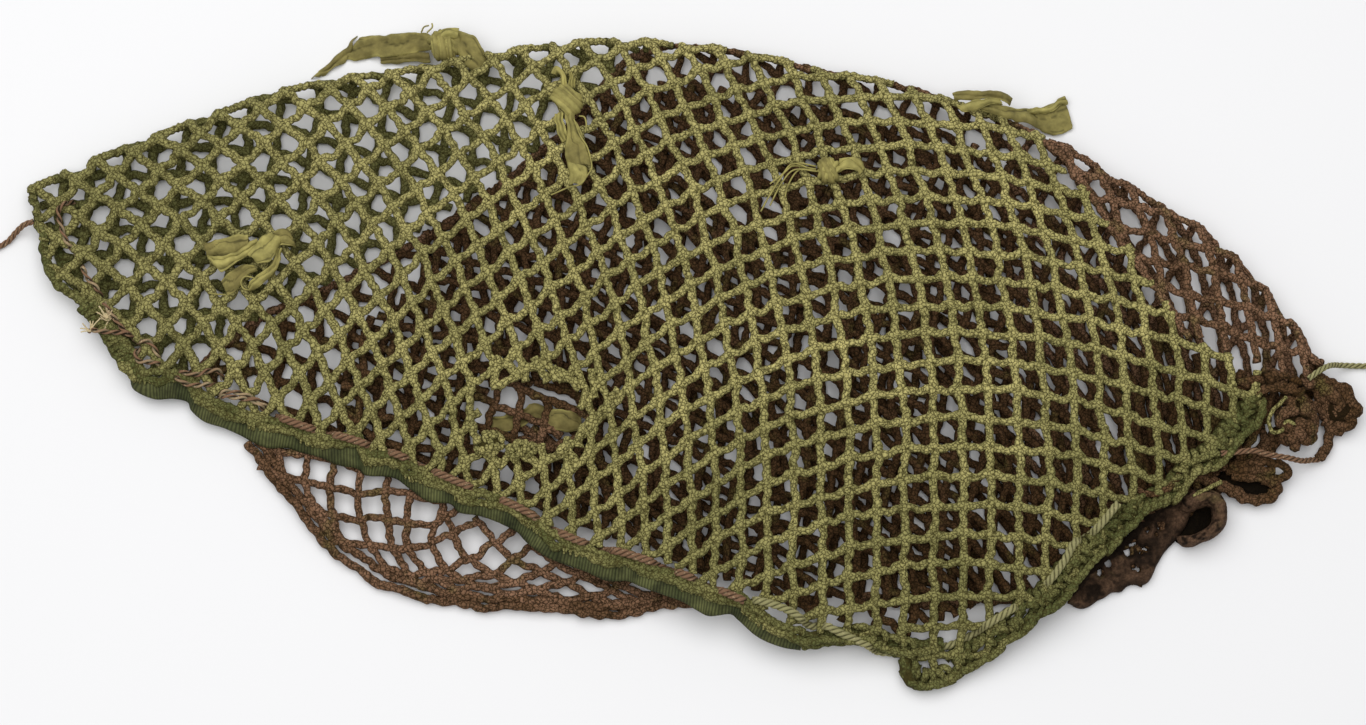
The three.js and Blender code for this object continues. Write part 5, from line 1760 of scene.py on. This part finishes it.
def grid_area(grid):
    down, across = np.diff(grid, axis=0)[:, :-1], np.diff(grid, axis=1)[:-1]
    return float(np.linalg.norm(np.cross(down, across), axis=-1).sum())


def add_ribbon(joined, rows, on_net, tone, seed):
    """A strip of cloth between two edges, with soft pleats along it and painted shade in their creases. Gives
    its area.
    """
    line = smooth_line(rows, SOFT_STEP)
    share = np.linspace(0, 1, 11)
    plan = line[:, None, 0:2] * (1 - share)[:, None] + line[:, None, 2:4] * share[:, None]
    height = np.repeat(line[:, 4:5], len(share), axis=1)
    if on_net:
        height = height + net_top(plan.reshape(-1, 2)).reshape(height.shape)
    swing = place_noise(plan, 6.0, seed)
    pleat = np.sin(FULL_TURN * (1.7 * share + 0.6 * swing))
    height = height + 0.7 * (1 - (2 * share - 1) ** 2) + 0.5 * pleat
    height = height + 0.6 * place_noise(plan, 3.2, seed + 1) + 0.3 * place_noise(plan, 1.7, seed + 2)
    plan = plan + 0.5 * np.stack([place_noise(plan, 2.6, seed + more) for more in (3, 4)], axis=-1)
    grid = np.concatenate([plan, height[:, :, None]], axis=-1)
    edge = np.broadcast_to(1 - np.abs(2 * share - 1), pleat.shape)
    # Painted shade: the creases of the pleats get a depth past 1, which the material darkens.
    crease = smoothstep((0.2 * swing - pleat - 0.55) / 0.45) * (edge > 0.1)
    depth = np.maximum(edge, 1.8 * crease)
    joined.add_grid(grid, travel_along(line[:, :2]), depth, tone + 0.25 * swing, wrap=False)
    return grid_area(grid)


def add_wad(joined, centre, half, turn, bands, seed):
    """A knot of cloth: short pleated bands drawn over one another, with painted shade in their creases. Gives
    their area.
    """
    random = np.random.default_rng(seed)
    bow = np.linspace(-1.7, 1.7, 25)[:, None]
    share = np.linspace(-1, 1, 15)
    area = 0.0
    for band in range(bands):
        way = turn + random.uniform(-1.0, 1.0)
        aside = np.clip(random.uniform(-0.4, 0.4) + random.uniform(0.4, 0.65) * share, -0.97, 0.97)
        ring = np.sqrt(1 - aside ** 2)
        pleat = np.sin(7 * share + random.uniform(0, 6) + 0.8 * bow)
        swell = 0.82 + 0.04 * band + 0.12 * pleat
        c, s = math.cos(way), math.sin(way)
        x, y, z = swell * aside, swell * ring * np.sin(bow), swell * ring * np.cos(bow)
        grid = np.asarray(centre) + np.stack([c * x - s * y, s * x + c * y, z], axis=-1) * half
        # Painted shade: the creases of the pleats get a depth past 1, which the material darkens.
        depth = np.maximum(1 - np.abs(share), 1.8 * smoothstep((-pleat - 0.4) / 0.5))
        joined.add_grid(grid, bow[:, 0], depth, random.uniform(0.3, 1.0), wrap=False)
        area += grid_area(grid)
    return area


def make_cloth_strips(settings):
    thickness = in_millimetres(settings.sizes.strip_thickness)
    for number in range(1, STRIPS + 1):
        joined = JoinedMesh()
        on_net = number not in ON_TABLE
        area = 0.0
        for seed, (strip, tone, rows) in enumerate(RIBBONS):
            if strip == number:
                area += add_ribbon(joined, rows, on_net, tone, 80 + seed)
        for seed, (strip, centre, half, turn, bands) in enumerate(WADS):
            if strip == number:
                base = float(net_top(np.array([centre[:2]]))[0]) if on_net else 0.0
                area += add_wad(joined, np.add(centre, (0, 0, base)), half, turn, bands, 120 + seed)
        strip = joined.build(f"scrim_strip_{number}_cloth", strip_cloth(settings.colours))
        thicken(strip, thickness)
        finish_piece(strip, "olive_cloth", f"scrim_strip_{number}")
        frays = JoinedMesh()
        for strip_number, rows in FRAYS:
            if strip_number == number:
                line = smooth_line(rows, SOFT_STEP)
                if on_net:
                    line[:, 2] += net_top(line[:, :2])
                add_tube(frays, line, flat_ups(line), FRAY_YARN, 4, 0.9)
        fringe = []
        if frays.size:
            fringe.append(frays.build(f"scrim_strip_{number}_fray", strip_cloth(settings.colours)))
            finish_piece(fringe[0], "olive_cloth", f"scrim_strip_{number}")


# Torn hole

# Torn ends round it: lines of x, y and height over the net
TORN_ENDS = (
    ((-67.2, -43.6, 0.3), (-70.1, -40.7, 1), (-72.9, -38.2, 1.8), (-74, -36, 2)),
    ((-53.8, -45, 0.2), (-55.9, -42.2, 0.6), (-59.1, -40, 1.2), (-62, -38.5, 1.6)),
    ((-40.7, -43.6, 0.2), (-43.2, -40, 0.8), (-45.7, -37.1, 2), (-47.4, -38.2, 2.2), (-46.7, -40.7, 1.4)),
    ((-71, -4.5, 0), (-66.5, -7, 0.6), (-63.5, -9.6, 0.4), (-62.2, -12.2, -0.6)),
    ((-57, -4.5, 0), (-54.8, -8.5, 0.5), (-53, -11, 0.5), (-52, -13.2, -0.3)),
    ((-50, -8, 0), (-45.5, -11, 0.6), (-42.3, -13.6, 0.6), (-40.5, -15.6, -0.2)),
    ((-26.9, -16.1, 0), (-32.6, -23.3, 0.5), (-38.2, -28.4, 0.8), (-40.4, -31.7, 0.8), (-41.1, -36.4, 0.3)),
    ((-36.5, -8.1, 0), (-35.8, -13.6, 0.3), (-35.4, -18.6, 0)),
)
# Knotted stubs on its front rim: middle with height over the net, and half sizes
TORN_STUBS = (((-72.4, -35.2, 1.8), (4.6, 3.6, 2.6)), ((-61.2, -37.6, 1.4), (4.6, 2.4, 2.2)))
# Strands of the lower layer in the hole: height over the table and places along each one
TEAR_BROWN = (
    (7, ((-76.3, -9.1), (-73.8, -9.3), (-69.2, -10.1), (-64.6, -11.9), (-59.6, -14.8), (-55, -16.8),
         (-50, -18.6), (-45.8, -20.2), (-42.2, -22), (-39.4, -23.1), (-33.7, -25.1))),
    (6.5, ((-78.4, -16.8), (-74.1, -17.5), (-70.6, -20.1), (-66.7, -21.2), (-63.2, -22.6), (-58.9, -24.4),
           (-55, -25.9), (-51.8, -28), (-47.2, -30.9))),
    (6, ((-79.5, -26.6), (-76.3, -27.3), (-72.4, -28.8), (-68.1, -30.2), (-64.2, -32.4), (-60, -33.5),
         (-56.4, -34.9), (-51.5, -37.1))),
    (6, ((-70.6, -9.6), (-70.2, -15.4), (-71, -19), (-72.7, -23), (-73.8, -27.3), (-75.9, -30.2))),
    (6, ((-62.4, -12.1), (-61.4, -15.4), (-62.1, -20.1), (-62.8, -24.1), (-63.5, -28.4), (-64.6, -32.8))),
    (6, ((-52.9, -16.8), (-52.2, -20.4), (-53.2, -24.8), (-53.9, -28.8), (-55, -32.8), (-55, -36))),
    (7.5, ((-55.6, -41.6), (-54, -37.2), (-50, -35.2), (-45.8, -33.2), (-41.9, -31.8), (-38, -30))),
    (2.5, ((-66, -31), (-56, -32), (-47, -34), (-40, -36))),
    (2.5, ((-63, -36), (-54, -38), (-45, -39))),
    (2.5, ((-58, -27), (-50, -33), (-44, -40))),
    (2, ((-48, -22), (-44, -27), (-40, -33))),
    (3, ((-57, -10.5), (-49, -13), (-41, -15.5), (-35, -18))),
    (2.5, ((-50, -9.5), (-44, -14), (-40, -19))),
    (2.5, ((-64, -26), (-58, -29), (-53, -33))),
)


def make_torn_ends(settings):
    part = strand_parts(settings.sizes)[0]
    joined = JoinedMesh()
    for number, rows in enumerate(TORN_ENDS):
        line = smooth_line(rows, YARN_STEP)
        line[:, 2] += net_top(line[:, :2]) - SHEET / 2
        swell = 1.05 + 0.15 * place_noise(line, 2.0, 91)
        add_strand(joined, line, flat_ups(line), part, np.full(len(line), 0.75), 1.3 * number, swell)
    for seed, (centre, half) in enumerate(TORN_STUBS):
        base = float(net_top(np.array([centre[:2]]))[0]) - SHEET / 2
        add_lumps(joined, np.add(centre, (0, 0, base)), half, STUB_LOOPS, 0.6, 92 + seed, 1.4, 0.62)
    piece = joined.build("net_green_torn_ends", green_yarn(settings.colours))
    finish_piece(piece, "green_netting", "net_green")
    showing = JoinedMesh()
    for number, (height, route) in enumerate(TEAR_BROWN):
        plan = smooth_line(route, SOFT_STEP)
        line = np.column_stack([plan, np.full(len(plan), height)])
        add_route(showing, line, part, (0.4, 0.3, 9.0, 94), STRAND_TURN * number, (0.95, 0.15, 3.0, 95))
    piece = showing.build("net_brown_in_tear", brown_yarn(settings.colours))
    finish_piece(piece, "brown_netting", "net_brown")


# Camera, table and light

SENSOR = 36.0  # millimetres
TABLE_SIZE = 8.0  # metres, as for the light
KEY_PLACE = (-0.2, 0.25, 1.5)
KEY_SIZE = 2.0
KEY_TILT = (-9.5, -7.5)  # degrees from straight down


def make_camera(settings):
    stage = settings.stage
    back = np.array([0, -math.cos(stage.elevation), math.sin(stage.elevation)])
    eye = np.array([stage.aim_x, stage.aim_y, 0]) + stage.distance * back
    bpy.ops.object.select_all(action="DESELECT")
    bpy.ops.object.camera_add(location=eye, rotation=(math.pi / 2 - stage.elevation, 0, 0))
    camera = bpy.context.object
    camera.data.sensor_width = SENSOR
    camera.data.lens = camera.data.sensor_width * stage.distance / stage.frame_width
    bpy.context.scene.camera = camera


def make_stage(settings):
    stage, colours = settings.stage, settings.colours
    bpy.ops.object.select_all(action="DESELECT")
    bpy.ops.mesh.primitive_plane_add(size=TABLE_SIZE, location=(0, 0, CAD_BOX[0].z))
    table = bpy.context.object
    table.name = "table"
    look = Shading("pale table")
    look.shader["Base Color"].default_value = colours.floor
    look.dull(0.8, 0.1)
    table.data.materials.append(look.material)
    world = bpy.data.worlds.new("soft studio")
    world.use_nodes = True
    world.node_tree.nodes["Background"].inputs["Color"].default_value = (1, 1, 1, 1)
    world.node_tree.nodes["Background"].inputs["Strength"].default_value = stage.sky
    bpy.context.scene.world = world
    bpy.ops.object.light_add(type="AREA", location=KEY_PLACE)
    light = bpy.context.object
    light.name = "soft key"
    light.data.size = KEY_SIZE
    light.data.energy = stage.key
    light.rotation_euler = (*np.radians(KEY_TILT), 0)
    bpy.context.scene.view_settings.view_transform = "Standard"


# Operators

def run_step(make, context):
    make(context.scene.helmet_net)
    return {"FINISHED"}


class HELMETNET_OT_camera(bpy.types.Operator):
    """Place the camera over the front of the table"""

    bl_idname = "helmet_net.camera"
    bl_label = "Camera"

    def execute(self, context):
        return run_step(make_camera, context)


class HELMETNET_OT_free_cords(bpy.types.Operator):
    """Twist the free cord ends and the loop at the right"""

    bl_idname = "helmet_net.free_cords"
    bl_label = "Free cords"

    def execute(self, context):
        return run_step(make_free_cords, context)


class HELMETNET_OT_green_netting(bpy.types.Operator):
    """Crochet the strands of the green half"""

    bl_idname = "helmet_net.green_netting"
    bl_label = "Green netting"

    def execute(self, context):
        return run_step(make_green_netting, context)


class HELMETNET_OT_brown_netting(bpy.types.Operator):
    """Crochet the strands of the brown half"""

    bl_idname = "helmet_net.brown_netting"
    bl_label = "Brown netting"

    def execute(self, context):
        return run_step(make_brown_netting, context)


class HELMETNET_OT_green_hems(bpy.types.Operator):
    """Crochet the hems of the green half"""

    bl_idname = "helmet_net.green_hems"
    bl_label = "Green hems"

    def execute(self, context):
        return run_step(make_green_hems, context)


class HELMETNET_OT_brown_hems(bpy.types.Operator):
    """Crochet, roll and bunch the hems of the brown half"""

    bl_idname = "helmet_net.brown_hems"
    bl_label = "Brown hems"

    def execute(self, context):
        return run_step(make_brown_hems, context)


class HELMETNET_OT_edge_tape(bpy.types.Operator):
    """Sew the ribbed tape along the front hem"""

    bl_idname = "helmet_net.edge_tape"
    bl_label = "Edge tape"

    def execute(self, context):
        return run_step(make_edge_tape, context)


class HELMETNET_OT_drawstrings(bpy.types.Operator):
    """Thread the two drawstrings along the front hem"""

    bl_idname = "helmet_net.drawstrings"
    bl_label = "Drawstrings"

    def execute(self, context):
        return run_step(make_drawstrings, context)


class HELMETNET_OT_cloth_strips(bpy.types.Operator):
    """Knot the cloth strips on the net and lay the one in the torn hole"""

    bl_idname = "helmet_net.cloth_strips"
    bl_label = "Cloth strips"

    def execute(self, context):
        return run_step(make_cloth_strips, context)


class HELMETNET_OT_torn_ends(bpy.types.Operator):
    """Curl the torn ends round the hole"""

    bl_idname = "helmet_net.torn_ends"
    bl_label = "Torn ends"

    def execute(self, context):
        return run_step(make_torn_ends, context)


class HELMETNET_OT_stage(bpy.types.Operator):
    """Set out the table and the light"""

    bl_idname = "helmet_net.stage"
    bl_label = "Table and light"

    def execute(self, context):
        return run_step(make_stage, context)


STEPS = (
    HELMETNET_OT_camera,
    HELMETNET_OT_free_cords,
    HELMETNET_OT_green_netting,
    HELMETNET_OT_brown_netting,
    HELMETNET_OT_green_hems,
    HELMETNET_OT_brown_hems,
    HELMETNET_OT_edge_tape,
    HELMETNET_OT_drawstrings,
    HELMETNET_OT_cloth_strips,
    HELMETNET_OT_torn_ends,
    HELMETNET_OT_stage,
)


class HELMETNET_PT_panel(bpy.types.Panel):
    """Steps and settings of the helmet net"""

    bl_idname = "HELMETNET_PT_panel"
    bl_label = "Helmet net"
    bl_space_type = "VIEW_3D"
    bl_region_type = "UI"
    bl_category = "Helmet net"

    def draw(self, context):
        settings = context.scene.helmet_net
        for step in STEPS:
            self.layout.operator(step.bl_idname)
        for group in (settings.sizes, settings.colours, settings.stage):
            column = self.layout.column()
            for name in group.__annotations__:
                column.prop(group, name)


CLASSES = (
    HelmetNetSizes, HelmetNetColours, HelmetNetStage, HelmetNetSettings, *STEPS, HELMETNET_PT_panel,
)


def register():
    for item in CLASSES:
        bpy.utils.register_class(item)
    bpy.types.Scene.helmet_net = bpy.props.PointerProperty(type=HelmetNetSettings)


def unregister():
    del bpy.types.Scene.helmet_net
    for item in reversed(CLASSES):
        bpy.utils.unregister_class(item)


def main():
    register()
    for step in STEPS:
        group, name = step.bl_idname.split(".")
        getattr(getattr(bpy.ops, group), name)()


if __name__ == "__main__":
    main()
